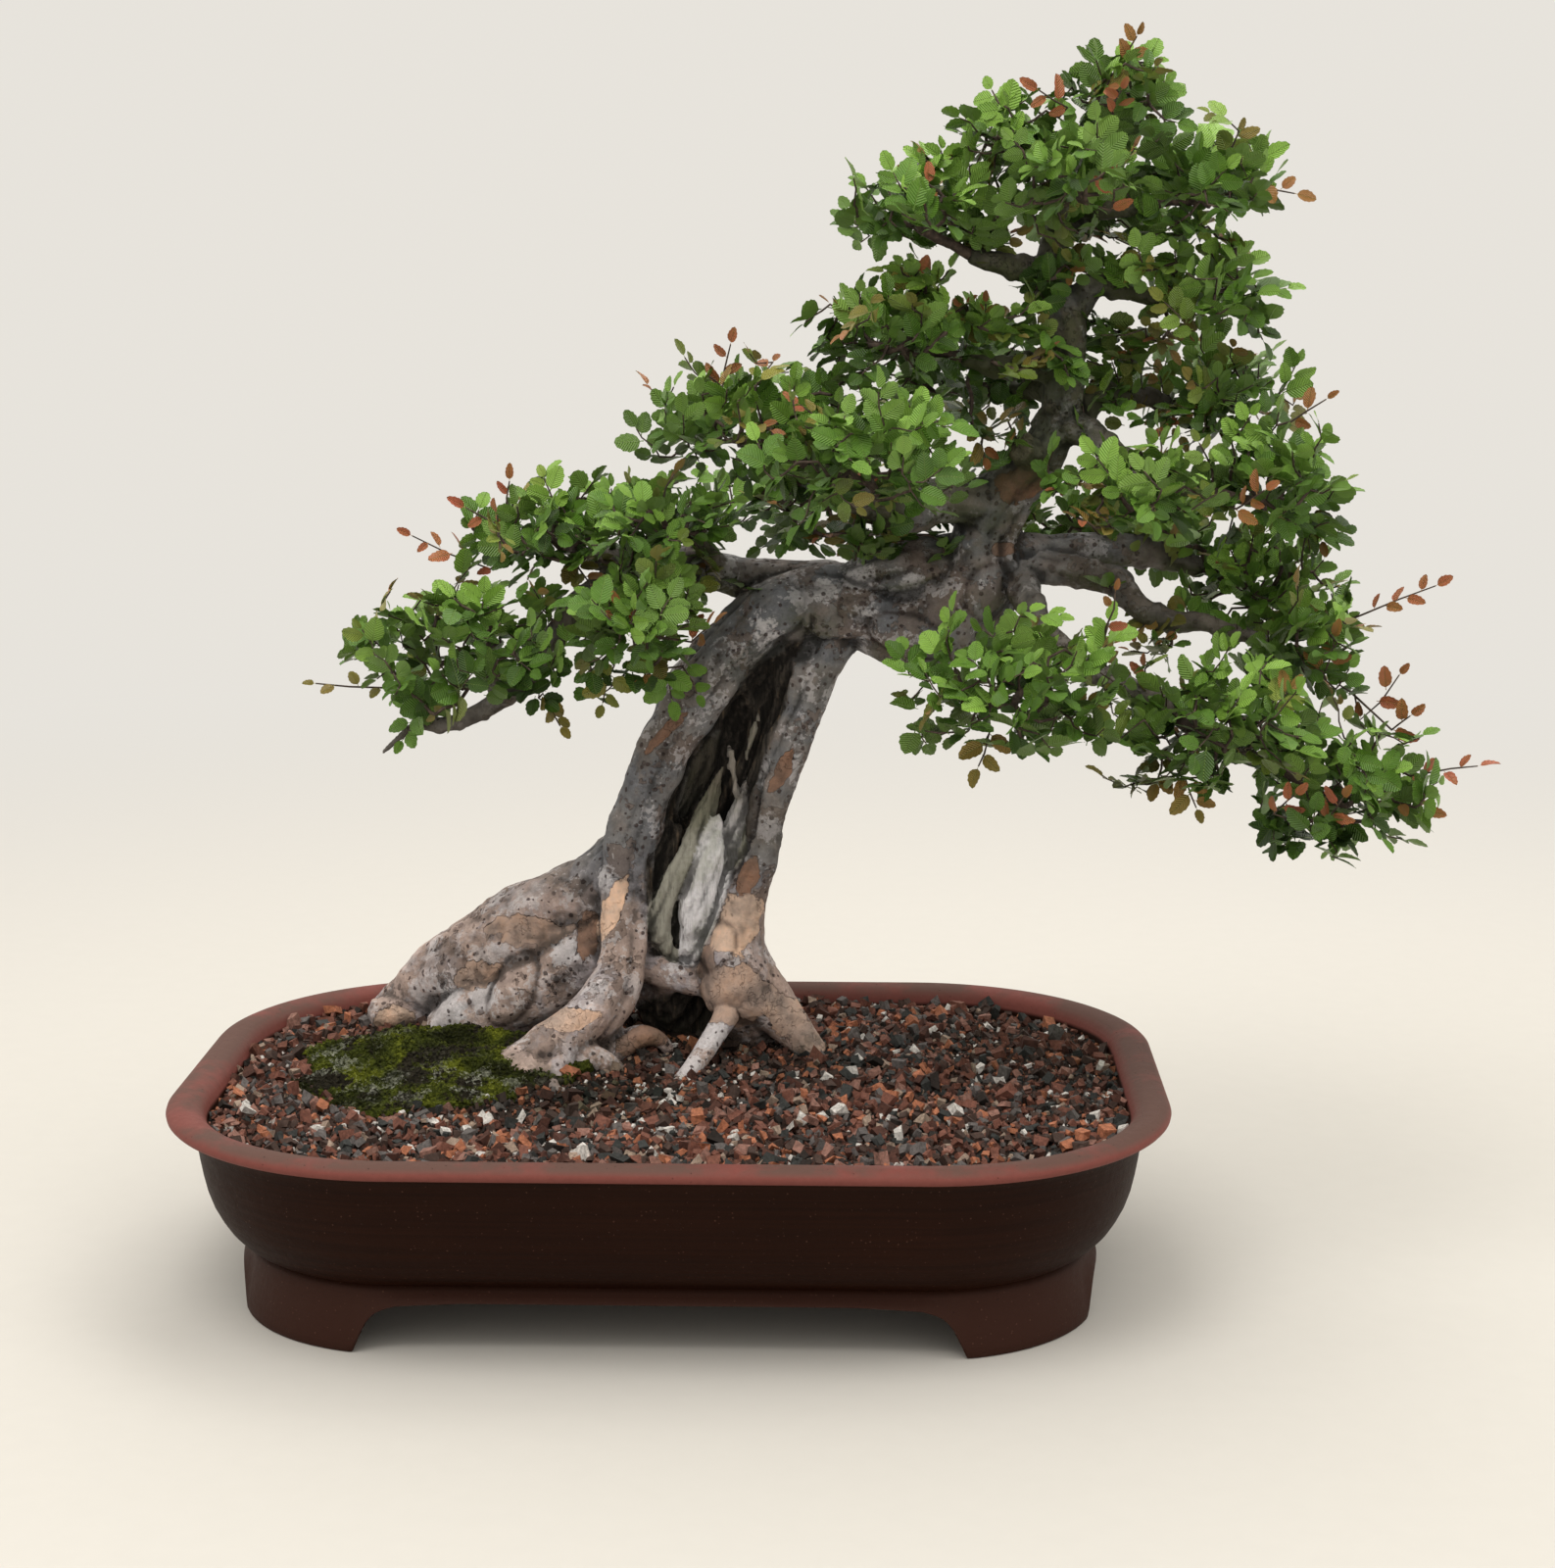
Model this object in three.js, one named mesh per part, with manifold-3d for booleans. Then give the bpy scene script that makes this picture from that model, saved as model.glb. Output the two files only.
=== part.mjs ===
// A Chinese elm bonsai in its pot: an old hollow trunk that leans and arches to the right, raised roots,
// leafy side branches, soil, moss, and a low rounded clay pot on four feet with two screened drain holes.
// Millimetres, +Z up. It is laid out round the middle of the pot's footprint, with the pot standing on
// z = 0 and its front towards -Y. The finished group is shifted so that the origin is the middle of the
// whole object's footprint.
import * as THREE from "three";
import { mergeVertices } from "three/addons/utils/BufferGeometryUtils.js";
import Module from "manifold-3d";

const wasm = await Module();
wasm.setup();

// Driving dimensions
const POT = {
  length: 560,
  depth: 400,
  cornerRadius: 140,
  floorTop: 38,
  underside: 27,
  straightSteps: 2,
  cornerSteps: 6,
};
const FEET = { frontGap: 165, sideGap: 95 }; // half the clear width between two feet
const FIT_GAP = 0.3; // clearance between pieces that touch
const SOIL_EDGE = 103; // height of the soil where it meets the pot
const LEAF = { length: 19, width: 12, thickness: 0.9 };
const SPRIG = {
  rib: 0.8, // half width of its stalk
  pitch: 9, // from one leaf to the next along it
  lean: 0.95, // angle between a side leaf and the stalk
  roll: 0.7, // greatest turn about the stalk
  arch: 0.0022, // fall along its length
  droop: 0.011, // fall to its sides
  wave: 1.1, // height of the leaves' waves
};
const SEED = 20;

const COLOURS = {
  bark: 0x8c847c,
  clay: 0x6b3028,
  soil: 0x5e4236,
  moss: 0x4c5a22,
  leaf: 0x4d7a30,
  mesh: 0x2b2b2b,
};

// Numbers between 0 and 1 that are the same on every run
let randomState = SEED;
function random() {
  randomState = (randomState * 1664525 + 1013904223) % 4294967296;
  return randomState / 4294967296;
}
const between = (low, high) => low + (high - low) * random();
const GOLDEN_ANGLE = Math.PI * (3 - Math.sqrt(5));

// Solids

const MERGE_DISTANCE = 1e-4;

function placesOnly(geometry) {
  geometry.deleteAttribute("normal");
  geometry.deleteAttribute("uv");
  return geometry;
}

function solidFrom(geometry) {
  const merged = mergeVertices(placesOnly(geometry), MERGE_DISTANCE);
  return new wasm.Manifold(
    new wasm.Mesh({
      numProp: 3,
      vertProperties: merged.attributes.position.array,
      triVerts: new Uint32Array(merged.index.array),
    }),
  );
}

const joined = (solids) => solids.reduce((whole, piece) => whole.add(piece));

// The largest body of a solid, so that no loose scrap is kept
function largestBody(solid) {
  return solid.decompose().reduce((best, body) => (body.volume() > best.volume() ? body : best));
}

function meshOf(solid, name, colour, roughness) {
  const { vertProperties, triVerts } = solid.getMesh();
  const geometry = new THREE.BufferGeometry();
  geometry.setAttribute("position", new THREE.BufferAttribute(new Float32Array(vertProperties), 3));
  geometry.setIndex(new THREE.BufferAttribute(new Uint32Array(triVerts), 1));
  geometry.computeVertexNormals();
  const finish = { color: colour, roughness, metalness: 0, flatShading: true };
  const mesh = new THREE.Mesh(geometry, new THREE.MeshStandardMaterial(finish));
  mesh.name = name;
  return mesh;
}

// Moves every vertex of a geometry by a function of its place
function reshape(geometry, move) {
  const position = geometry.attributes.position;
  const vertex = new THREE.Vector3();
  for (let i = 0; i < position.count; i++) {
    vertex.fromBufferAttribute(position, i);
    move(vertex);
    position.setXYZ(i, vertex.x, vertex.y, vertex.z);
  }
  return geometry;
}

function curveThrough(stations) {
  const points = stations.map(([x, y, z]) => new THREE.Vector3(x, y, z));
  return new THREE.CatmullRomCurve3(points, false, "centripetal");
}

// A tapered limb through stations [x, y, z, radius]: a closed cylinder bent along a smooth curve.
// swell widens it all round, and depth flattens it front to back.
function limb(stations, { sides = 7, perSpan = 1, swell = 0, depth = 1 } = {}) {
  const curve = curveThrough(stations);
  const spans = stations.length - 1;
  const steps = spans * perSpan;
  const centres = [];
  const tangents = [];
  for (let i = 0; i <= steps; i++) {
    centres.push(curve.getPoint(i / steps));
    tangents.push(curve.getTangent(i / steps));
  }
  // Each section keeps the last one's side direction, so the limb doesn't twist
  const sideways = [];
  let side = new THREE.Vector3(0, 1, 0).cross(tangents[0]);
  if (side.lengthSq() < 0.01) side = new THREE.Vector3(1, 0, 0);
  for (const tangent of tangents) {
    side = side.clone().addScaledVector(tangent, -side.dot(tangent)).normalize();
    sideways.push(side);
  }
  const radiusAt = (i) => {
    const span = Math.min(Math.floor(i / perSpan), spans - 1);
    const share = i / perSpan - span;
    return THREE.MathUtils.lerp(stations[span][3], stations[span + 1][3], share) + swell;
  };
  const cylinder = new THREE.CylinderGeometry(1, 1, 1, sides, steps);
  return solidFrom(
    reshape(cylinder, (vertex) => {
      const i = Math.round((vertex.y + 0.5) * steps);
      const across = new THREE.Vector3().crossVectors(tangents[i], sideways[i]);
      const radius = radiusAt(i);
      const offset = sideways[i].clone().multiplyScalar(vertex.x).addScaledVector(across, -vertex.z);
      offset.multiplyScalar(radius);
      offset.y *= depth;
      const overhang = i === 0 ? -swell : i === steps ? swell : 0;
      vertex.copy(centres[i]).add(offset).addScaledVector(tangents[i], overhang);
    }),
  );
}

// The pot

// Points round the pot's rounded rectangle, set in from the rim by a distance
function potOutline(inset) {
  const points = [];
  const halfLength = POT.length / 2 - POT.cornerRadius;
  const halfDepth = POT.depth / 2 - POT.cornerRadius;
  const radius = POT.cornerRadius - inset;
  const corners = [
    [halfLength, halfDepth],
    [-halfLength, halfDepth],
    [-halfLength, -halfDepth],
    [halfLength, -halfDepth],
  ];
  corners.forEach(([x, y], quarter) => {
    for (let i = 0; i <= POT.cornerSteps; i++) {
      const angle = (quarter + i / POT.cornerSteps) * (Math.PI / 2);
      points.push(new THREE.Vector2(x + radius * Math.cos(angle), y + radius * Math.sin(angle)));
    }
    const [nextX, nextY] = corners[(quarter + 1) % 4];
    const from = points[points.length - 1];
    const endAngle = (quarter + 1) * (Math.PI / 2);
    const to = new THREE.Vector2(nextX + radius * Math.cos(endAngle), nextY + radius * Math.sin(endAngle));
    for (let i = 1; i < POT.straightSteps; i++) points.push(from.clone().lerp(to, i / POT.straightSteps));
  });
  return points;
}

// A closed body swept round the pot's outline. The profile lists [inset, z, share], where share shrinks the
// outline towards the middle, and starts and ends in the middle with a share of 0. A z may depend on x and y.
function potBody(profile) {
  const around = potOutline(0).length;
  const lathe = new THREE.LatheGeometry(profile.map((_, i) => new THREE.Vector2(i ? 1 : 0, i)), around);
  const outlines = profile.map(([inset]) => potOutline(inset));
  const position = lathe.attributes.position;
  for (let i = 0; i < position.count; i++) {
    const station = i % profile.length;
    const turn = Math.floor(i / profile.length) % around;
    const [, z, share = 1] = profile[station];
    const point = outlines[station][turn];
    const [x, y] = [point.x * share, point.y * share];
    position.setXYZ(i, x, y, typeof z === "function" ? z(x, y) : z);
  }
  // Triangles that closed up at the middle are dropped when doubles are merged
  const merged = mergeVertices(placesOnly(lathe), MERGE_DISTANCE);
  const kept = [];
  const index = merged.index.array;
  for (let i = 0; i < index.length; i += 3) {
    const [a, b, c] = [index[i], index[i + 1], index[i + 2]];
    if (a !== b && b !== c && c !== a) kept.push(a, b, c);
  }
  merged.setIndex(kept);
  const body = solidFrom(merged);
  if (body.volume() > 0) return body;
  for (let i = 0; i < kept.length; i += 3) [kept[i], kept[i + 1]] = [kept[i + 1], kept[i]];
  merged.setIndex(kept);
  return solidFrom(merged);
}

// A prism cut straight through the skirt below the pot, leaving a foot on each side of it
function footArch(halfWidth, reach, alongX) {
  const curve = [[0, -2], [4, 7], [9, 17], [16, 22], [36, 26]];
  const outline = curve.map(([inward, z]) => new THREE.Vector2(inward - halfWidth, z));
  const mirrored = [...outline].reverse().map((point) => new THREE.Vector2(-point.x, point.y));
  const prism = new THREE.ExtrudeGeometry(new THREE.Shape([...outline, ...mirrored]), {
    depth: 2 * reach,
    bevelEnabled: false,
  });
  prism.translate(0, 0, -reach).rotateX(Math.PI / 2);
  if (alongX) prism.rotateZ(Math.PI / 2);
  return solidFrom(prism);
}

const DRAIN = { x: 110, radius: 13, screen: 36, screenThickness: 1.2, bar: 2, grid: 2 };

function pot() {
  const body = potBody([
    [90, POT.floorTop, 0],
    [54, POT.floorTop],
    [34, 54],
    [25, 92],
    [19, 109],
    [10, 112],
    [1, 109],
    [1, 101],
    [18, 96],
    [22, 70],
    [34, 45],
    [48, 34],
    [40, 4],
    [44, 0],
    [58, 0],
    [64, POT.underside],
    [90, POT.underside, 0],
  ]);
  const arches = [footArch(FEET.frontGap, POT.depth, false), footArch(FEET.sideGap, POT.length, true)];
  const drains = [-1, 1].map((side) => {
    const hole = new THREE.CylinderGeometry(DRAIN.radius, DRAIN.radius, POT.floorTop, 12);
    return solidFrom(hole.rotateX(Math.PI / 2).translate(side * DRAIN.x, 0, POT.floorTop));
  });
  return [...arches, ...drains].reduce((clay, cut) => clay.subtract(cut), body);
}

// A square of plastic mesh that keeps the soil in over a drain hole
function drainScreen(side) {
  const slab = (size, height) => new THREE.BoxGeometry(size, size, height);
  const middle = POT.floorTop + FIT_GAP + DRAIN.screenThickness / 2;
  const plate = solidFrom(slab(DRAIN.screen, DRAIN.screenThickness).translate(side * DRAIN.x, 0, middle));
  const pitch = (DRAIN.screen - DRAIN.bar) / DRAIN.grid;
  const at = (place) => (place - (DRAIN.grid - 1) / 2) * pitch;
  const holes = [];
  for (let column = 0; column < DRAIN.grid; column++)
    for (let row = 0; row < DRAIN.grid; row++) {
      const hole = slab(pitch - DRAIN.bar, 4 * DRAIN.screenThickness);
      holes.push(solidFrom(hole.translate(side * DRAIN.x + at(column), at(row), middle)));
    }
  return holes.reduce((mesh, hole) => mesh.subtract(hole), plate);
}

// The soil and the moss

// Height of the ground: it rises towards the foot of the trunk
function ground(x, y) {
  const fromTrunk = Math.hypot((x + 40) / 150, (y - 60) / 110);
  return SOIL_EDGE + 11 * Math.exp(-fromTrunk * fromTrunk);
}

function soil(roots) {
  const bed = potBody([
    [90, POT.floorTop + FIT_GAP, 0],
    [54 + FIT_GAP, POT.floorTop + FIT_GAP],
    [34 + FIT_GAP, 54 + FIT_GAP],
    [25 + FIT_GAP, 92],
    ...[1, 0.78, 0.5, 0.25, 0].map((share) => [22 + FIT_GAP, ground, share]),
  ]);
  const pockets = [-1, 1].map((side) => {
    const size = DRAIN.screen + 2 * FIT_GAP;
    const box = new THREE.BoxGeometry(size, size, 2 * (DRAIN.screenThickness + FIT_GAP));
    return solidFrom(box.translate(side * DRAIN.x, 0, POT.floorTop + FIT_GAP));
  });
  return largestBody([...pockets, ...roots].reduce((earth, hole) => earth.subtract(hole), bed));
}

// A low cushion of moss in front of the left roots: [x, y] middle, half sizes, and height
const MOSS = { x: -142, y: 0, halfLength: 82, halfDepth: 66, height: 9 };

function moss(roots) {
  const cushion = new THREE.SphereGeometry(1, 14, 4);
  const bumpy = reshape(cushion.rotateX(Math.PI / 2), (vertex) => {
    const lobe = 1 + 0.12 * Math.sin(3 * Math.atan2(vertex.y, vertex.x) + 1);
    const x = MOSS.x + vertex.x * MOSS.halfLength * lobe;
    const y = MOSS.y + vertex.y * MOSS.halfDepth * lobe;
    const lift = vertex.z > 0 ? 1.5 + MOSS.height * vertex.z : 0;
    vertex.set(x, y, ground(x, y) + 3 * FIT_GAP + lift);
  });
  return largestBody(roots.reduce((pad, root) => pad.subtract(root), solidFrom(bumpy)));
}

// The tree's wood. Each limb is a list of stations [x, y, z, radius].

const TRUNK = [
  {
    path: [
      [4, 92, 98, 36], [-8, 90, 153, 37], [-4, 88, 187, 47], [1, 86, 218, 49], [8, 85, 248, 47],
      [20, 84, 287, 44], [37, 82, 326, 38], [57, 80, 350, 32],
    ],
    sides: 11,
    depth: 0.8,
  },
  {
    path: [
      [26, 80, 314, 25], [43, 80, 349, 26], [69, 80, 371, 24], [101, 80, 373, 24], [132, 78, 367, 27],
      [157, 76, 371, 30], [175, 74, 394, 23], [178, 72, 420, 18], [191, 70, 443, 17], [209, 68, 463, 15],
      [219, 66, 485, 12],
    ],
    sides: 9,
  },
];

// The right-hand leg, which leaves the arch and comes down beside the hollow
const LEGS = [
  {
    path: [
      [80, 78, 356, 15], [63, 72, 303, 15], [50, 66, 263, 14], [43, 62, 228, 14], [36, 60, 193, 17],
      [31, 60, 167, 23], [33, 60, 143, 26], [44, 62, 118, 20],
    ],
    sides: 8,
  },
  { path: [[43, 62, 145, 21], [61, 58, 128, 14], [80, 56, 106, 9]], sides: 7 },
];

const ROOTS = [
  {
    path: [
      [-26, 88, 216, 36], [-62, 96, 187, 37], [-104, 102, 158, 41], [-142, 110, 141, 29],
      [-174, 120, 124, 15], [-196, 125, 108, 8],
    ],
    sides: 9,
  },
  { path: [[-34, 80, 177, 28], [-72, 75, 150, 26], [-112, 80, 130, 24], [-150, 88, 108, 14]], sides: 8 },
  { path: [[-135, 110, 127, 12], [-164, 106, 117, 10], [-194, 104, 112, 7]] },
  {
    path: [
      [-24, 70, 221, 18], [-23, 50, 190, 15], [-25, 35, 161, 15], [-50, 20, 139, 14], [-74, 8, 122, 17],
      [-97, 6, 108, 13],
    ],
    sides: 8,
  },
  { path: [[-74, 8, 119, 14], [-46, 8, 112, 11], [-18, 22, 104, 6]], sides: 6 },
  { path: [[-31, 40, 150, 11], [-17, 38, 128, 11], [5, 40, 106, 7]], sides: 6 },
  { path: [[29, 55, 141, 10], [20, 34, 126, 7], [9, 8, 113, 6], [-7, -28, 100, 5]], sides: 6 },
  { path: [[20, 110, 170, 24], [36, 140, 130, 20], [56, 166, 102, 10]], sides: 7 },
  { path: [[-30, 105, 160, 26], [-58, 138, 128, 20], [-84, 160, 102, 10]], sides: 7 },
];

// The rotted hollow in the front of the trunk, and the pale dead wood that stands in it
const HOLLOW = {
  path: [
    [79, 42, 343, 7], [62, 44, 318, 15], [40, 45, 285, 23], [26, 46, 255, 25], [18, 46, 228, 26],
    [9, 46, 200, 21], [1, 44, 165, 15],
  ],
  sides: 8,
};
const DEADWOOD = [
  {
    path: [[40, 64, 280, 5], [31, 62, 250, 12], [20, 60, 219, 16], [12, 56, 190, 14], [14, 52, 172, 8]],
    sides: 6,
  },
  { path: [[8, 70, 250, 7], [-3, 60, 214, 8], [-7, 54, 186, 5]], sides: 5 },
];

const LEADER = {
  path: [
    [209, 68, 463, 15], [219, 66, 485, 12], [222, 64, 513, 11], [222, 62, 538, 12], [213, 60, 560, 10],
    [215, 60, 588, 7], [227, 62, 612, 6], [240, 62, 640, 5],
  ],
  sides: 7,
};

// Side branches. Each carries one leafy spray at its end, which fills a flattened dome:
// its middle, its half sizes, and the number of leaves on each of its sprigs.
const BRANCHES = {
  left_long_upper: {
    path: [[89, 85, 384, 15], [42, 95, 388, 13], [2, 90, 396, 11], [-32, 80, 398, 9], [-52, 76, 404, 6]],
    middle: [-82, 68, 418],
    half: [72, 60, 30],
    leaves: [5, 3, 5, 3],
  },
  left_long_lower: {
    path: [[-104, 40, 324, 5], [-108, 36, 332, 5], [-112, 33, 340, 4]],
    middle: [-124, 30, 356],
    half: [84, 64, 38],
    leaves: [5, 3, 5, 3],
  },
  left_long_front: {
    path: [[2, 88, 392, 7], [-6, 62, 384, 6], [-10, 40, 379, 4]],
    middle: [-18, -4, 380],
    half: [42, 48, 31],
    leaves: [5, 3, 3, 3],
  },
  left_middle_low: {
    path: [[24, 92, 392, 7], [14, 76, 408, 5], [8, 56, 418, 4]],
    middle: [-4, 20, 430],
    half: [48, 46, 26],
    leaves: [5, 3, 3, 3],
  },
  left_middle: {
    path: [[180, 70, 434, 15], [151, 55, 438, 13], [126, 40, 430, 9], [101, 27, 446, 7], [76, 28, 460, 5]],
    middle: [34, 48, 486],
    half: [66, 66, 33],
    leaves: [5, 3, 5, 3],
  },
  middle_front: {
    path: [[128, 40, 430, 8], [119, 17, 440, 6], [114, -4, 447, 4]],
    middle: [108, -32, 468],
    half: [58, 56, 37],
    leaves: [5, 3, 5, 3],
  },
  back_left: {
    path: [[175, 80, 425, 12], [141, 116, 438, 9], [112, 146, 432, 5]],
    middle: [74, 178, 430],
    half: [72, 48, 32],
    leaves: [5, 3, 3, 3],
  },
  left_upper: {
    path: [[221, 64, 516, 9], [195, 50, 514, 7], [162, 42, 520, 5]],
    middle: [120, 40, 534],
    half: [50, 58, 28],
    leaves: [5, 3, 3, 3],
  },
  back_upper: {
    path: [[221, 64, 502, 9], [205, 90, 498, 6], [190, 110, 498, 5]],
    middle: [166, 140, 508],
    half: [52, 54, 34],
    leaves: [5, 3, 3, 3],
  },
  left_top: {
    path: [[213, 60, 563, 9], [191, 52, 570, 7], [166, 46, 577, 5]],
    middle: [136, 36, 601],
    half: [50, 58, 24],
    leaves: [5, 3, 3, 3],
  },
  apex_left: {
    path: [[224, 62, 610, 6], [209, 55, 624, 5], [198, 50, 631, 4]],
    middle: [174, 44, 646],
    half: [46, 50, 24],
    leaves: [5, 3, 3, 3],
  },
  top_front: {
    path: [[216, 60, 590, 7], [216, 40, 599, 5], [217, 26, 605, 4]],
    middle: [220, 4, 620],
    half: [42, 38, 29],
    leaves: [5, 3, 3],
  },
  top_back: {
    path: [[216, 62, 586, 7], [226, 86, 594, 5], [234, 104, 599, 4]],
    middle: [248, 130, 610],
    half: [50, 48, 34],
    leaves: [5, 3, 3, 3],
  },
  right_top: {
    path: [[225, 62, 605, 6], [250, 64, 602, 5], [268, 65, 604, 4]],
    middle: [302, 64, 617],
    half: [44, 56, 34],
    leaves: [5, 3, 3, 3],
  },
  right_upper: {
    path: [[222, 62, 541, 10], [241, 66, 562, 7], [262, 72, 556, 6], [276, 74, 550, 4]],
    middle: [307, 72, 555],
    half: [40, 58, 27],
    leaves: [5, 3, 3],
  },
  right_upper_back: {
    path: [[221, 66, 478, 10], [245, 82, 495, 7], [270, 95, 494, 6], [286, 101, 491, 4]],
    middle: [322, 112, 500],
    half: [50, 60, 27],
    leaves: [5, 3, 3, 3],
  },
  right_middle: {
    path: [[217, 66, 482, 11], [238, 55, 475, 9], [262, 45, 458, 7], [298, 40, 445, 5]],
    middle: [346, 38, 452],
    half: [54, 58, 32],
    leaves: [5, 3, 3, 3],
  },
  right_middle_front: {
    path: [[254, 48, 462, 7], [256, 26, 450, 5], [257, 10, 445, 4]],
    middle: [260, -20, 450],
    half: [44, 44, 27],
    leaves: [5, 3, 3],
  },
  right_long: {
    path: [[181, 74, 404, 16], [215, 80, 405, 12], [262, 90, 406, 10], [306, 94, 396, 6]],
    middle: [352, 92, 390],
    half: [60, 58, 28],
    leaves: [5, 3, 3, 3],
  },
  right_back: {
    path: [[240, 88, 406, 8], [250, 120, 402, 6], [256, 142, 399, 5]],
    middle: [264, 180, 408],
    half: [72, 48, 30],
    leaves: [5, 3, 3, 3],
  },
  right_side: {
    path: [[200, 74, 400, 11], [248, 60, 391, 8], [272, 50, 374, 7], [315, 45, 366, 5], [340, 43, 358, 4]],
    middle: [380, 40, 356],
    half: [44, 54, 27],
    leaves: [5, 3, 3],
  },
  right_low_front: {
    path: [[206, 36, 371, 7], [203, 12, 360, 6], [197, -16, 351, 5], [195, -34, 348, 4]],
    middle: [190, -70, 354],
    half: [64, 48, 36],
    leaves: [5, 3, 3, 3],
  },
  right_low: {
    path: [[262, -5, 337, 6], [273, -14, 330, 5], [281, -20, 325, 4]],
    middle: [304, -34, 328],
    half: [60, 54, 34],
    leaves: [5, 3, 5, 3],
  },
  right_low_tip: {
    path: [
      [198, 70, 396, 10], [205, 40, 374, 8], [228, 6, 350, 7], [262, -5, 337, 6], [300, -4, 312, 5],
      [330, -6, 298, 4],
    ],
    middle: [396, -8, 288],
    half: [57, 54, 38],
    leaves: [5, 3, 5, 3],
  },
  apex: {
    path: [[227, 62, 612, 7], [236, 62, 632, 6], [242, 62, 645, 4]],
    middle: [250, 60, 662],
    half: [40, 44, 27],
    leaves: [5, 3, 3, 3],
  },
};

// The bare lower stretch of the long left branch, with its dead tip
const LEFT_LOW_STEM = {
  path: [
    [-26, 78, 397, 7], [-59, 60, 378, 7], [-80, 47, 342, 7], [-104, 40, 323, 6], [-129, 38, 310, 5],
    [-152, 36, 308, 3], [-172, 34, 292, 1.5],
  ],
  sides: 5,
};

const limbsOf = (list, swell) => list.map(({ path, sides, depth }) => limb(path, { sides, depth, swell }));

function trunk() {
  const body = joined(limbsOf(TRUNK)).subtract(limb(HOLLOW.path, HOLLOW));
  const side = Object.values(BRANCHES).map(({ path }) => limb(path, { sides: path[0][3] > 9 ? 6 : 5 }));
  const rest = limbsOf([...LEGS, ...ROOTS, ...DEADWOOD, LEADER, LEFT_LOW_STEM]);
  return joined([body, ...rest, ...side]);
}

// The leaves

// One edge of an elm leaf as [share of its length, share of its half width], with one coarse tooth
const LEAF_EDGE = [[0.4, 1], [0.63, 0.66]];

// A leaf's outline from the near edge of its foot, round its tip, to the far edge
function leafOutline(foot, angle, length) {
  const halfWidth = ((LEAF.width / LEAF.length) * length) / 2;
  const far = [...LEAF_EDGE].reverse();
  const local = [...LEAF_EDGE.map(([along, across]) => [along, -across]), [1, 0], ...far];
  return local.map(([along, across]) =>
    new THREE.Vector2(along * length, across * halfWidth).rotateAround(new THREE.Vector2(), angle).add(foot),
  );
}

// A twig tip lying along +X: a bare stretch, then leaves to the left and right in turn, and one at the end.
// It is one thin blade cut to the outline of its leaves, arched along its length and a little waved.
function sprigGeometry({ bare, lengths, phase, thickness }) {
  const sides = [[], []];
  const end = bare + (lengths.length - 1) * SPRIG.pitch;
  lengths.slice(1).forEach((length, i) => {
    const side = i % 2 ? 1 : -1;
    const x = bare + i * SPRIG.pitch;
    const ribEdge = (offset) => new THREE.Vector2(x + offset, side * SPRIG.rib);
    const blade = leafOutline(ribEdge(0), side * SPRIG.lean, length);
    if (side < 0) sides[0].push(ribEdge(-SPRIG.rib), ...blade, ribEdge(SPRIG.rib));
    else sides[1].unshift(ribEdge(SPRIG.rib), ...blade, ribEdge(-SPRIG.rib));
  });
  const outline = [
    new THREE.Vector2(0, -SPRIG.rib),
    ...sides[0],
    ...leafOutline(new THREE.Vector2(end, 0), 0, lengths[0]),
    ...sides[1],
    new THREE.Vector2(0, SPRIG.rib),
  ];
  const flat = new THREE.ExtrudeGeometry(new THREE.Shape(outline), { depth: thickness, bevelEnabled: false });
  return reshape(flat.translate(0, 0, -thickness / 2), (vertex) => {
    const blade = Math.min(1, Math.abs(vertex.y) / 6);
    const wave = SPRIG.wave * blade * Math.sin(0.21 * vertex.x + 0.17 * vertex.y + phase);
    vertex.z += wave - SPRIG.arch * vertex.x * vertex.x - SPRIG.droop * vertex.y * vertex.y;
  });
}

// The end sprig of each spray grows away from this place on the upright trunk, and a little upwards
const LEADER_FOOT = [190, 66, 0];
const LEADER_LIFT = 40;

// A sprig whose foot is at a point, going out along a direction with its face turned towards up
function sprigSolid(plan, foot, direction, up, extra) {
  const x = direction.clone().normalize();
  const z = up.clone().addScaledVector(x, -up.dot(x)).normalize().applyAxisAngle(x, plan.roll);
  const y = new THREE.Vector3().crossVectors(z, x);
  const place = new THREE.Matrix4().makeBasis(x, y, z).setPosition(foot);
  return solidFrom(sprigGeometry({ ...plan, thickness: LEAF.thickness + 2 * extra }).applyMatrix4(place));
}

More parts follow.
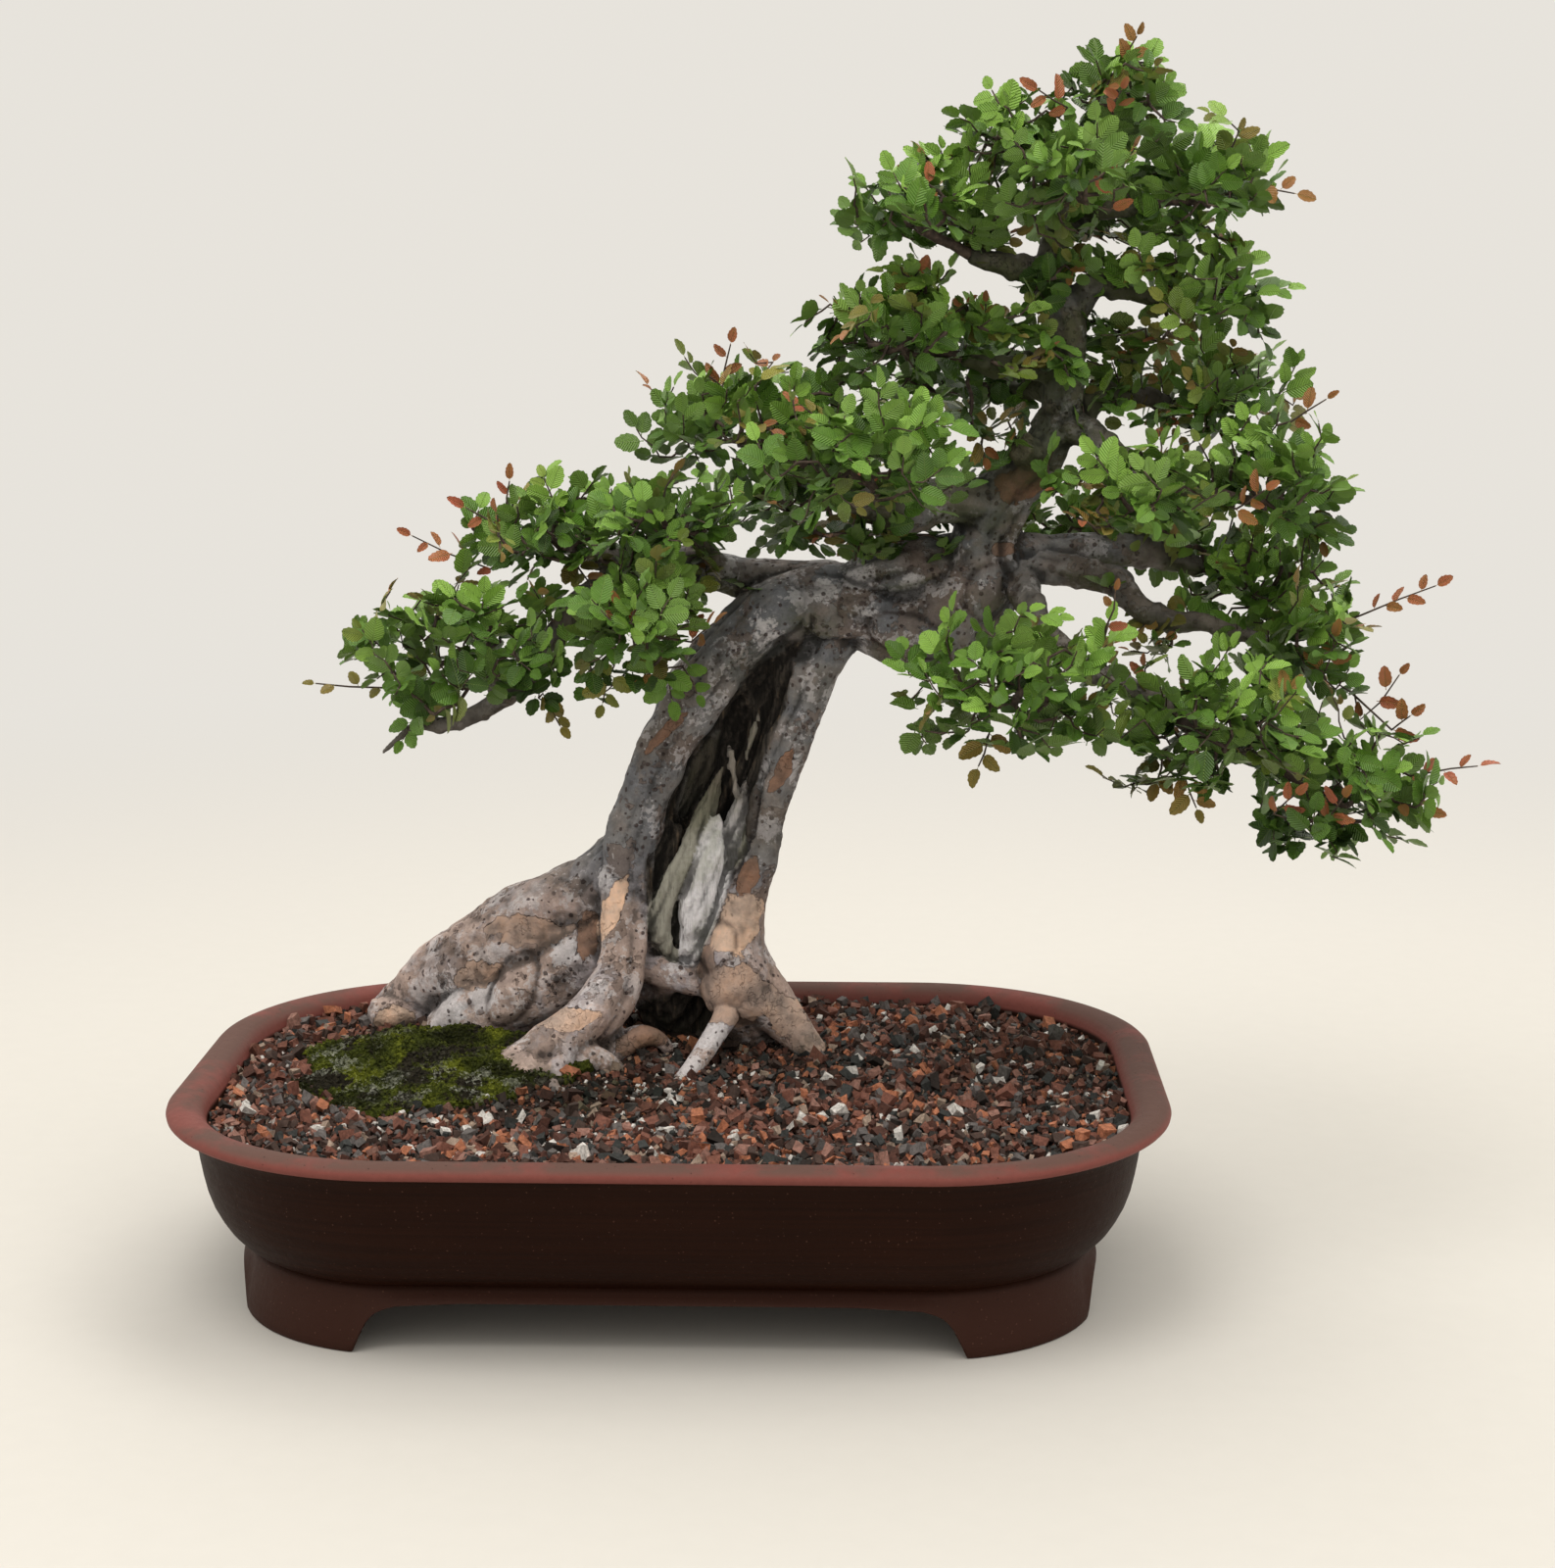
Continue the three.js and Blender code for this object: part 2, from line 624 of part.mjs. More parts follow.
// One leafy spray: a stem that goes on from its branch into a flattened dome, and the sprigs along it
function spray({ path, middle, half, leaves }, blocked) {
  const end = new THREE.Vector3(...path[path.length - 1]);
  const endRadius = path[path.length - 1][3];
  const tangent = curveThrough(path).getTangent(1);
  const centre = new THREE.Vector3(...middle);
  const start = end.clone().addScaledVector(tangent, FIT_GAP);
  const fork = centre.clone().add(new THREE.Vector3(0, 0, -0.35 * half[2]));
  const bend = start.clone().addScaledVector(tangent, Math.min(0.35 * fork.distanceTo(start), 14));
  const station = (point, radius) => [point.x, point.y, point.z, radius];
  const stations = [station(start, endRadius), station(bend, 0.8 * endRadius), station(fork, 1.2)];
  const stem = limb(stations, { sides: 4 });
  const onward = centre.clone().sub(new THREE.Vector3(...LEADER_FOOT)).setZ(LEADER_LIFT);
  onward.divide(new THREE.Vector3(...half)).normalize();
  const turn = Math.atan2(onward.y, onward.x);
  const sprigs = [];
  leaves.forEach((count, i) => {
    const share = 1 - (0.8 * i) / leaves.length;
    for (let attempt = 0; attempt < 40; attempt++) {
      const rise = between(-0.25, 0.65);
      const level = Math.sqrt(1 - rise * rise);
      const angle = turn + i * GOLDEN_ANGLE + between(-0.3, 0.3) * (1 + 0.2 * attempt);
      const outward = new THREE.Vector3(level * Math.cos(angle), level * Math.sin(angle), rise);
      if (i === 0) outward.multiplyScalar(0.15 + 0.05 * attempt).add(onward).normalize();
      const foot = bend.clone().lerp(fork, share);
      const target = new THREE.Vector3(...half).multiply(outward).multiplyScalar(0.98).add(centre);
      const reach = target.distanceTo(foot);
      const lengths = Array.from({ length: count }, () => LEAF.length * between(0.85, 1.1));
      const bare = Math.max(4, reach - lengths[0] - (count - 1) * SPRIG.pitch);
      const plan = { bare, lengths, phase: between(0, 6), roll: between(-SPRIG.roll, SPRIG.roll) };
      const direction = target.sub(foot);
      direction.z += SPRIG.arch * reach * reach;
      const face = new THREE.Vector3(0.6 * outward.x, 0.6 * outward.y, 1);
      if (blocked(sprigSolid(plan, foot, direction, face, FIT_GAP), sprigs)) continue;
      sprigs.push(sprigSolid(plan, foot, direction, face, 0));
      break;
    }
  });
  return largestBody(joined([stem, ...sprigs]));
}

// Putting it together

const tree = new THREE.Group();
const inGround = limbsOf([TRUNK[0], ...LEGS, ...ROOTS], FIT_GAP);
const trunkSolid = largestBody(trunk());

const touches = (a, b) => {
  const [p, q] = [a.boundingBox(), b.boundingBox()];
  const apart = [0, 1, 2].some((axis) => p.min[axis] > q.max[axis] || q.min[axis] > p.max[axis]);
  return !apart && !a.intersect(b).isEmpty();
};

tree.add(meshOf(pot(), "pot", COLOURS.clay, 0.6));
tree.add(meshOf(drainScreen(-1), "drain_screen_left", COLOURS.mesh, 0.7));
tree.add(meshOf(drainScreen(1), "drain_screen_right", COLOURS.mesh, 0.7));
tree.add(meshOf(soil(inGround), "soil", COLOURS.soil, 0.95));
tree.add(meshOf(moss(inGround), "moss", COLOURS.moss, 0.95));
tree.add(meshOf(trunkSolid, "trunk", COLOURS.bark, 0.8));

const placed = [trunkSolid];
for (const [name, branch] of Object.entries(BRANCHES)) {
  const blocked = (solid, own) => [...placed, ...own].some((other) => touches(solid, other));
  const whole = spray(branch, blocked);
  placed.push(whole);
  tree.add(meshOf(whole, "spray_" + name, COLOURS.leaf, 0.5));
}

const box = new THREE.Box3().setFromObject(tree);
tree.position.set(-(box.min.x + box.max.x) / 2, -(box.min.y + box.max.y) / 2, -box.min.z);

export default tree;
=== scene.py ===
"""An old Chinese elm bonsai with its clay pot, soil, moss and leafy sprays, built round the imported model.

Sizes in the tables are in millimetres from the middle of the pot's footprint, with +Z up and the front
towards -Y. The function placed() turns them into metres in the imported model's frame.
"""
import math

import bmesh
import bpy
import numpy as np
from mathutils import Matrix, Vector, noise
from mathutils.bvhtree import BVHTree


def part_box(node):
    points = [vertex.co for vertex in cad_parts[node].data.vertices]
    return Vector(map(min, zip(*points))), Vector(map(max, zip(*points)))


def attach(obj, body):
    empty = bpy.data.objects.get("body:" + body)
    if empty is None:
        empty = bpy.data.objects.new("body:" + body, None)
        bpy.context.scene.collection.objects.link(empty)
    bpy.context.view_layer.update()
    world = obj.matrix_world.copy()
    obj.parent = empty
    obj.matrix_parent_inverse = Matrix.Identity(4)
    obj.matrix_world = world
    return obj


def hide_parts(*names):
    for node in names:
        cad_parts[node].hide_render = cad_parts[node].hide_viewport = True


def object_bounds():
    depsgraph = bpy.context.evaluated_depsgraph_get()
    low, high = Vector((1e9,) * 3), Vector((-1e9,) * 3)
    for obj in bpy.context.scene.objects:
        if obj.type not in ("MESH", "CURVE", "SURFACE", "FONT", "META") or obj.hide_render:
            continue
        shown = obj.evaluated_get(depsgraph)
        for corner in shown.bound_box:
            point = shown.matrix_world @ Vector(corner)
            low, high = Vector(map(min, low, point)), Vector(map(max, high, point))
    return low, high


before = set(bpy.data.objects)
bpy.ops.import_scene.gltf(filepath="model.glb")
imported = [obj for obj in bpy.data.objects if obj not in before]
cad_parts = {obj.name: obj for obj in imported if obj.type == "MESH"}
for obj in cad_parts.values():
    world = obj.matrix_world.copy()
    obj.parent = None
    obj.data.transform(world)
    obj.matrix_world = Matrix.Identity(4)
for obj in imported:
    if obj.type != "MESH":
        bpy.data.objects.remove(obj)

bl_info = {
    "name": "Chinese Elm Bonsai",
    "version": (1, 0, 0),
    "blender": (4, 5, 0),
    "location": "3D View > Sidebar > Bonsai",
    "description": "Builds an old hollow Chinese elm with its soil, moss and unglazed clay pot",
    "category": "Add Mesh",
}

CAD_BOX = [list(corner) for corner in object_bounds()]

MM = 0.001
POT_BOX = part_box("pot")
POT_MIDDLE = (POT_BOX[0] + POT_BOX[1]) / 2
ORIGIN = Vector((POT_MIDDLE.x, POT_MIDDLE.y, 0))
GOLDEN_ANGLE = math.pi * (3 - math.sqrt(5))


def placed(x, y, z):
    """A place in the tables' millimetres as a place in the frame's metres."""
    return Vector((x, y, z)) * MM + ORIGIN


# Sizes: the pot

POT_CORNER = 140  # radius of a corner at the rim
CORNER_STEPS = 56
SIDE_STEPS = 8
FRONT_GAP = 165  # half the clear width between the two front feet
SIDE_GAP = 95
SKIRT_TOP = 31
# From one foot's edge inwards: [distance, height of the arch there]
FOOT_ARCH = [[0, 0], [1, 0.5], [4, 8], [9, 18], [13, 22.5], [18, 25.2], [26, 27.6], [36, 29.2]]
# [inset from the rim, height], from the floor inside, over the rim, to the foot band
POT_WALL = [
    [54, 38], [50, 38.3], [45, 40], [40, 44.5], [36.5, 50], [34, 56], [30, 70], [26.5, 86], [24.8, 98],
    [23.6, 106], [22, 111], [20, 114], [16.8, 116], [13, 117], [8.8, 117.2], [5.4, 116.7], [3, 115.6],
    [1.5, 114.1], [1, 112.5], [1.3, 110.9], [2.4, 109.7], [4.4, 108.8], [8, 107.9], [12, 106.8],
    [14.8, 104.8], [16.4, 101], [17.4, 95], [18.6, 87], [20, 79], [22, 70], [24.8, 62], [28.4, 55],
    [32.6, 48.6], [37, 43.8], [41.2, 40.4], [44.6, 38.4], [46.2, 37.6], [46.8, 36.8], [46, 35.9],
    [45.2, 34.8],
]
# [inset, share of the way from the foot band's top down to the arch or the ground]
FOOT_BAND = [
    [44.8, 0.12], [43.4, 0.35], [42, 0.6], [40.9, 0.82], [40.6, 0.93], [41.4, 0.985], [43.4, 1.0],
    [51, 1.0], [58, 1.0], [59.6, 0.97], [61.6, 0.7], [64, 0.0],
]
DRAIN_HOLE = {"x": 110, "radius": 13, "steps": 24}
CREASE_ANGLE = math.radians(48)  # edges sharper than this are shaded sharp
# In metres: heights over which the foot band's lighter tone fades out, and over which the rim's tone starts;
# below the rim's tone, the underside of the rim's lip keeps the wall's dark tone as painted shade
FOOT_CREASE = (0.0335, 0.0375)
RIM_EDGE = (0.1068, 0.1088)
FOOT_TINT = (3.2, 4.6, 9)  # the foot band's tone, as shares of the wall's

# Sizes: the ground

SOIL_EDGE = 105.5
SOIL_INSET = 23.4
SOIL_RINGS = 34
BED_DEPTH = 1.2  # how far the bed lies below the soil's height, and the granules' feet with it
# Where the bed meets the pot, from the floor up: [inset from the rim, height]
SOIL_WALL = [[60, 38.4], [54.5, 38.5], [50, 39], [40.4, 45], [34.4, 56], [30.4, 70], [26, 92], [25, 100]]
CHIP_VARIANTS = 64
GRIT_SHARE = 0.42  # size of a bit of grit, as a share of a granule's
WHITE_KIND = 0.98  # the place of white granules among the kinds that the material knows
BARE_REACH = 0.03  # metres round the wood within which granules are checked against it
MOSS = {"x": -142, "y": 0, "half_length": 82, "half_depth": 66, "height": 11}
MOSS_RINGS = 30
MOSS_TURNS = 120

# Sizes: the wood. Each limb is a list of stations [x, y, z, radius].

LIMB_STEPS = 5  # steps from one station to the next
HOLLOW_STEPS = 4
CROOK = 3.2  # how far side branches stray
CROOK_SIZE = 15  # and the length of their bends
CROOK_SEED = 1
LEANING_TRUNK = [
    [4, 112, 98, 20], [-6, 97, 146, 31], [-5, 89, 187, 46], [1, 86, 218, 49], [8, 85, 248, 47],
    [20, 84, 287, 44], [37, 82, 326, 38], [57, 80, 350, 32],
]
TRUNK_DEPTH = 0.8
ARCH = [
    [26, 80, 314, 25], [43, 80, 349, 26], [69, 80, 371, 24], [101, 80, 373, 24], [132, 78, 367, 27],
    [157, 76, 371, 30], [175, 74, 394, 23], [178, 72, 420, 18], [191, 70, 443, 17], [209, 68, 463, 15],
    [219, 66, 485, 12],
]
HOLLOW = [
    [76, 50, 368, 6], [68, 50, 360, 10.5], [63, 50, 352, 13], [52, 50, 336, 15], [46, 50, 319, 19],
    [34, 50, 307, 23], [26, 50, 290, 25.5], [20, 50, 272, 25.5], [16, 50, 255, 26.5], [12, 50, 238, 29.5],
    [7, 50, 225, 28], [3, 50, 208, 23], [-1, 50, 190, 19], [-3, 50, 172, 15], [-2, 50, 162, 8],
]
SHADED_GAP = [-1, 88, 122, 27, 22, 34]  # the gap below the hollow, painted near black as shade: its middle and half sizes
HOLLOW_DEPTH = 1.3  # the hollow's depth as a share of its width
# The rounded lip along the hollow's left edge
LEFT_RIDGE = [
    [92, 78, 374, 14], [62, 72, 371, 19], [38, 66, 354, 16], [19, 63, 334, 15.8], [3, 62, 314, 16.5],
    [-10, 62, 296, 14], [-17, 62, 279, 14], [-22, 62, 264, 13.3], [-27, 62, 246, 14.5], [-32, 62, 228, 13],
    [-31, 60, 214, 11], [-34, 62, 200, 8],
]
LEGS = [
    [
        [100, 80, 368, 15], [94, 76, 360, 14], [81, 72, 339, 12.7], [74, 70, 316, 11.5], [65, 67, 293, 11.8],
        [56, 64, 270, 11.3], [52, 62, 253, 9.2], [50, 61, 238, 8.6], [46, 60, 223, 10.4], [38, 60, 206, 12.8],
        [33, 60, 188, 15.4], [31, 60, 172, 18.5], [34, 58, 152, 24], [37, 61, 136, 20], [46, 70, 112, 12],
    ],
    [[42, 58, 146, 21], [58, 54, 133, 13.5], [70, 54, 119, 11], [80, 54, 106, 9]],
]
ROOTS = [
    [
        [-12, 86, 248, 19], [-28, 88, 212, 31], [-62, 94, 182, 34], [-104, 102, 156, 40],
        [-142, 110, 141, 29], [-174, 120, 124, 15], [-196, 125, 108, 8],
    ],
    [[-34, 80, 177, 28], [-72, 75, 150, 26], [-112, 80, 130, 24], [-150, 88, 108, 14]],
    [[-135, 110, 130, 13], [-168, 106, 120, 11.5], [-194, 104, 117, 10]],
    [
        [-31, 70, 221, 16], [-36, 54, 192, 11.5], [-37, 42, 166, 11], [-50, 22, 142, 13], [-74, 8, 122, 17],
        [-97, 6, 108, 13],
    ],
    [
        [-27, 68, 216, 8], [-25, 52, 192, 5.5], [-26, 42, 166, 6.5], [-35, 32, 144, 9], [-52, 22, 127, 9.5],
        [-66, 14, 119, 9],
    ],
    [[-99, 6, 113, 12], [-83, -7, 111, 14], [-64, -6, 111, 11]],
    [[-66, 8, 122, 9], [-46, 8, 117, 7.5], [-32, 10, 108, 5]],
    [[-44, 24, 113, 8], [-33, 29, 120, 8], [-22, 34, 124, 7], [-12, 38, 121, 5], [-6, 40, 113, 4]],
    [[-24, 62, 160, 8], [-9, 60, 156, 9.5], [6, 60, 152, 9.5], [22, 60, 149, 8]],
    [[20, 56, 147, 14], [35, 52, 145, 16], [52, 54, 140, 15]],
    [
        [30, 54, 141, 6], [27, 37, 135, 6.5], [18, 20, 123, 6.4], [9, 5, 112, 6], [1, -9, 107, 5.4],
        [-6, -21, 104, 4.6], [-10, -29, 100, 3.4],
    ],
    [[-70, -20, 112, 4], [-66, -27, 108, 3.5], [-52, -30, 107, 3], [-42, -27, 103, 2.5]],
    [[8, 98, 215, 14], [18, 116, 172, 22], [36, 142, 132, 19], [60, 168, 101, 9]],
    [[-14, 98, 215, 16], [-32, 114, 165, 24], [-58, 140, 128, 19], [-88, 162, 101, 9]],
]
# The swelling where the arch carries its upper branches
SHOULDER = [
    [80, 80, 383, 9], [99, 80, 384, 15], [121, 80, 389, 19.5], [144, 80, 393, 22], [167, 80, 398, 20],
    [184, 78, 401, 12],
]
# Strands of the weathered slabs and splinters in the hollow, from the foot up
DEADWOOD = [
    [
        [-5, 58, 166, 3], [-12, 55, 182, 6], [-11, 55, 196, 6.5], [-5, 56, 212, 6.3], [4, 57, 229, 5.8],
        [9, 59, 245, 4.8], [15, 61, 258, 4], [21, 64, 272, 2.4], [25, 65, 281, 1.2],
    ],
    [
        [5, 62, 166, 6], [9, 60, 186, 11], [12, 60, 205, 12], [16, 60, 226, 11], [19, 62, 241, 7],
        [23, 63, 253, 1.8],
    ],
    [
        [18, 71, 172, 4], [22, 71, 190, 7.5], [26, 71, 210, 8.5], [30, 71, 232, 8.5], [35, 71, 251, 7],
        [38, 72, 272, 1.8],
    ],
    [
        [-3, 73, 172, 4], [-1, 73, 195, 6], [4, 73, 218, 6], [11, 73, 240, 6], [18, 73, 258, 4],
        [24, 74, 272, 1.5],
    ],
    [[-12, 86, 236, 4], [-3, 86, 258, 9], [8, 86, 280, 10], [20, 86, 302, 5]],
    [[33, 64, 262, 3], [31, 63, 280, 2.2], [28, 62, 296, 0.9]],
    [[38, 68, 282, 2], [42, 67, 298, 2], [46, 67, 312, 0.9]],
    [[50, 76, 322, 1.4], [53, 74, 340, 1.4], [55, 74, 350, 0.8]],
    [[31, 62, 200, 2.5], [35, 62, 216, 3.5], [38, 64, 234, 3], [39, 66, 250, 1.2]],
]
DEADWOOD_TONES = [0.5, 0, 0.12, 0.6, 1, 0.3, 0.3, 0.3, 0.5]  # how much darker and greener each strand is: a mossy stain on the front rib, and painted shade on the strands at the back of the hollow
SLAB_DEPTH = 0.85  # the slabs' thickness as a share of their width
SLAB_MIDDLE = 66
STUB = [[205, 62, 461, 10], [198, 50, 467, 8.5], [195, 43, 468, 7.5]]
LEADER = [
    [209, 68, 463, 15], [219, 66, 485, 12], [222, 64, 513, 11], [222, 62, 538, 12], [213, 60, 560, 10],
    [215, 60, 588, 7], [227, 62, 612, 6], [240, 62, 640, 5],
]
LEFT_LOW_STEM = [
    [-26, 78, 397, 7], [-59, 60, 378, 7], [-80, 47, 342, 7], [-104, 40, 323, 6], [-129, 38, 310, 5],
    [-152, 36, 308, 3], [-172, 34, 292, 1.5],
]

# Side branches: the path to the foot of the spray, the middle of the spray's dome, and its half sizes
BRANCHES = {
    "left_long_upper": (
        [[89, 85, 384, 15], [42, 95, 388, 13], [2, 90, 396, 11], [-32, 80, 398, 9], [-52, 76, 404, 6]],
        [-68, 66, 418], [60, 58, 32],
    ),
    "left_long_lower": (
        [[-104, 40, 324, 5], [-108, 36, 332, 5], [-112, 33, 340, 4]], [-116, 30, 355], [78, 62, 40],
    ),
    "left_long_front": ([[2, 88, 392, 7], [-6, 62, 384, 6], [-10, 40, 379, 4]], [-18, -4, 380], [42, 48, 31]),
    "left_middle_low": ([[24, 92, 392, 7], [14, 76, 408, 5], [8, 56, 418, 4]], [-4, 20, 430], [48, 46, 26]),
    "left_middle": (
        [[180, 70, 434, 15], [151, 55, 438, 13], [126, 40, 430, 9], [101, 27, 446, 7], [76, 28, 460, 5]],
        [38, 48, 484], [62, 62, 35],
    ),
    "middle_front": (
        [[128, 40, 430, 8], [119, 17, 440, 6], [114, -4, 447, 4]], [108, -32, 468], [58, 56, 37],
    ),
    "back_left": ([[175, 80, 425, 12], [141, 116, 438, 9], [112, 146, 432, 5]], [74, 178, 430], [72, 48, 32]),
    "left_upper": ([[221, 64, 516, 9], [195, 50, 514, 7], [162, 42, 520, 5]], [120, 40, 534], [50, 58, 28]),
    "back_upper": ([[221, 64, 502, 9], [205, 90, 498, 6], [190, 110, 498, 5]], [166, 140, 508], [52, 54, 34]),
    "left_top": ([[213, 60, 563, 9], [191, 52, 570, 7], [166, 46, 577, 5]], [136, 36, 601], [50, 58, 24]),
    "apex_left": ([[224, 62, 610, 6], [209, 55, 624, 5], [198, 50, 631, 4]], [186, 46, 642], [38, 48, 25]),
    "top_front": ([[216, 60, 590, 7], [216, 40, 599, 5], [217, 26, 605, 4]], [220, 4, 620], [42, 38, 29]),
    "top_back": ([[216, 62, 586, 7], [226, 86, 594, 5], [234, 104, 599, 4]], [248, 130, 610], [50, 48, 34]),
    "right_top": ([[225, 62, 605, 6], [250, 64, 602, 5], [268, 65, 604, 4]], [302, 64, 617], [44, 56, 34]),
    "right_upper": (
        [[222, 62, 541, 10], [241, 66, 562, 7], [262, 72, 556, 6], [276, 74, 550, 4]],
        [307, 72, 555], [40, 58, 27],
    ),
    "right_upper_back": (
        [[221, 66, 478, 10], [245, 82, 495, 7], [270, 95, 494, 6], [286, 101, 491, 4]],
        [317, 112, 500], [46, 60, 27],
    ),
    "right_middle": (
        [[217, 66, 482, 11], [238, 55, 475, 9], [262, 45, 458, 7], [298, 40, 445, 5]],
        [338, 38, 451], [46, 56, 35],
    ),
    "right_middle_front": (
        [[254, 48, 462, 7], [256, 26, 450, 5], [257, 10, 445, 4]], [260, -20, 450], [44, 44, 27],
    ),
    "right_long": (
        [[181, 74, 404, 16], [215, 80, 405, 12], [262, 90, 406, 10], [306, 94, 396, 6]],
        [342, 90, 390], [50, 56, 31],
    ),
    "right_back": (
        [[240, 88, 406, 8], [250, 120, 402, 6], [256, 142, 399, 5]], [264, 180, 408], [72, 48, 30],
    ),
    "right_side": (
        [[200, 74, 400, 11], [248, 60, 391, 8], [272, 50, 374, 7], [315, 45, 366, 5], [340, 43, 358, 4]],
        [362, 42, 356], [36, 50, 31],
    ),
    "right_low_front": (
        [[206, 36, 371, 7], [203, 12, 360, 6], [197, -16, 351, 5], [195, -34, 348, 4]],
        [190, -68, 350], [64, 48, 40],
    ),
    "right_low": ([[262, -5, 337, 6], [273, -14, 330, 5], [281, -20, 325, 4]], [303, -32, 324], [62, 54, 38]),
    "right_low_tip": (
        [
            [198, 70, 396, 10], [205, 40, 374, 8], [228, 6, 350, 7], [262, -5, 337, 6], [300, -4, 312, 5],
            [330, -6, 298, 4],
        ],
        [378, -8, 284], [52, 52, 41],
    ),
    "apex": ([[227, 62, 612, 7], [236, 62, 632, 6], [242, 62, 645, 4]], [250, 60, 664], [40, 42, 31]),
}

# Smaller clumps that belong to a spray: middle, half sizes, and number of twig tips
CLUMPS = {
    "left_middle": [
        ([90, 30, 415], [50, 25, 9], 11), ([70, 40, 446], [40, 26, 12], 8),
        ([131, 60, 412], [30, 25, 9], 8), ([111, 30, 503], [20, 20, 14], 6),
    ],
    "left_upper": [
        ([181, 40, 471], [20, 20, 18], 8), ([145, 40, 565], [28, 25, 14], 9),
        ([180, 42, 540], [24, 22, 16], 10), ([213, 34, 518], [14, 10, 20], 8),
        ([201, 44, 544], [8, 10, 16], 5),
    ],
    "left_top": [
        ([188, 45, 599], [14, 20, 30], 9), ([221, 34, 574], [14, 10, 16], 5),
        ([152, 40, 629], [24, 20, 9], 6),
    ],
    "right_upper": [
        ([253, 55, 578], [24, 25, 16], 10), ([251, 60, 530], [30, 28, 24], 15),
        ([292, 66, 584], [26, 28, 14], 8),
    ],
    "right_upper_back": [([298, 80, 481], [30, 28, 16], 10), ([252, 90, 500], [26, 30, 18], 9)],
    "right_low_front": [([179, -60, 322], [50, 30, 9], 6)],
    "right_low": [([274, -30, 293], [42, 30, 10], 10)],
    "right_low_tip": [([363, -8, 251], [35, 28, 9], 8)],
    "left_long_lower": [([-150, 30, 317], [20, 25, 9], 5)],
    "left_long_front": [([-22, 10, 347], [30, 25, 9], 8)],
    "right_middle": [([215, 30, 455], [14, 16, 18], 6), ([371, 45, 424], [13, 20, 26], 7)],
    "right_side": [([265, 30, 359], [25, 25, 9], 6)],
    "right_long": [([262, 80, 425], [40, 30, 12], 8)],
}

# Young shoots that stand out of a spray: foot, tip, leaves, and how red they are
SHOOTS = {
    "left_long_upper": [
        ([-110, 60, 397], [-154, 52, 417], 6, 1.0), ([-104, 60, 422], [-123, 55, 433], 3, 1.0),
        ([-99, 62, 429], [-98, 60, 448], 2, 1.0),
    ],
    "left_long_lower": [
        ([-168, 26, 332], [-207, 22, 335], 4, 0.45), ([-24, -20, 374], [-28, -26, 386], 3, 0.8),
        ([-76, 20, 330], [-66, 16, 312], 5, 0.4), ([-150, 30, 318], [-158, 26, 302], 4, 0.0),
    ],
    "left_middle": [([25, 48, 504], [31, 44, 527], 4, 0.8)],
    "left_long_front": [
        ([10, 6, 362], [23, -4, 374], 4, 0.85), ([-34, 10, 348], [-41, 12, 326], 5, 0.3),
        ([-6, 14, 348], [-2, 16, 328], 5, 0.0), ([4, 20, 346], [12, 22, 330], 4, 0.0),
    ],
    "left_top": [([146, 6, 612], [135, 0, 619], 4, 0.8)],
    "apex_left": [([218, 26, 657], [202, 20, 666], 4, 0.9)],
    "apex": [([243, 26, 653], [247, 20, 666], 4, 0.95), ([253, 58, 684], [258, 56, 697], 4, 0.65)],
    "top_front": [([240, -8, 601], [241, -14, 616], 3, 1.0)],
    "right_top": [([332, 62, 616], [349, 60, 611], 3, 0.7)],
    "right_middle": [
        ([351, 60, 483], [370, 56, 496], 3, 0.8), ([313, -6, 439], [327, -14, 450], 5, 0.8),
    ],
    "right_side": [
        ([395, 44, 375], [432, 34, 392], 6, 0.9), ([391, 30, 315], [412, 26, 342], 4, 0.85),
        ([368, 20, 342], [373, 16, 364], 4, 0.7), ([406, 10, 313], [415, 4, 322], 3, 0.85),
    ],
    "right_low_front": [
        ([238, -60, 380], [242, -66, 400], 3, 0.8), ([176, -60, 322], [170, -64, 304], 4, 0.5),
    ],
    "right_low_tip": [
        ([415, -4, 289], [451, -10, 296], 5, 0.95), ([334, -40, 274], [344, -48, 286], 4, 0.9),
        ([362, -42, 270], [370, -50, 285], 4, 0.85), ([409, -14, 275], [421, -20, 272], 3, 0.8),
    ],
    "right_low": [([286, -30, 292], [292, -34, 276], 5, 0.5)],
}

# The box that twig tips stay in
TIP_BOX = [
    [(c - o) / MM + inward for c, o in zip(corner, ORIGIN)] for corner, inward in zip(CAD_BOX, (6, -6))
]

# Shapes


def link_piece(name, mesh, material, slot, *nodes):
    """An object for a mesh that is in place. It rides on the one body and stands for the nodes."""
    mesh.name = name
    mesh.materials.clear()
    mesh.materials.append(material)
    piece = bpy.data.objects.new(name, mesh)
    bpy.context.scene.collection.objects.link(piece)
    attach(piece, "root")
    if nodes:
        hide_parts(*nodes)


def mesh_of(bm, name):
    """The finished mesh of a bmesh, which is freed."""
    mesh = bpy.data.meshes.new(name)
    bm.to_mesh(mesh)
    bm.free()
    return mesh


def smoothed(mesh):
    """The mesh with its faces shaded smooth."""
    for face in mesh.polygons:
        face.use_smooth = True
    return mesh


def paint(mesh, **masks):
    """Keeps named numbers for each vertex, for a material to read."""
    for name, values in masks.items():
        attribute = mesh.attributes.new(name, "FLOAT", "POINT")
        attribute.data.foreach_set("value", np.asarray(values, np.float32))


def rows_of(items, name):
    """A vector that each item of a mesh keeps, as rows."""
    rows = np.empty(len(items) * 3, np.float32)
    items.foreach_get(name, rows)
    return rows.reshape(-1, 3).astype(float)


def places_of(mesh):
    """The mesh's vertices as rows of metres."""
    return rows_of(mesh.vertices, "co")


def in_tables(places):
    """Rows of metres in the frame as rows of the tables' millimetres."""
    return (places - np.array(ORIGIN)) / MM


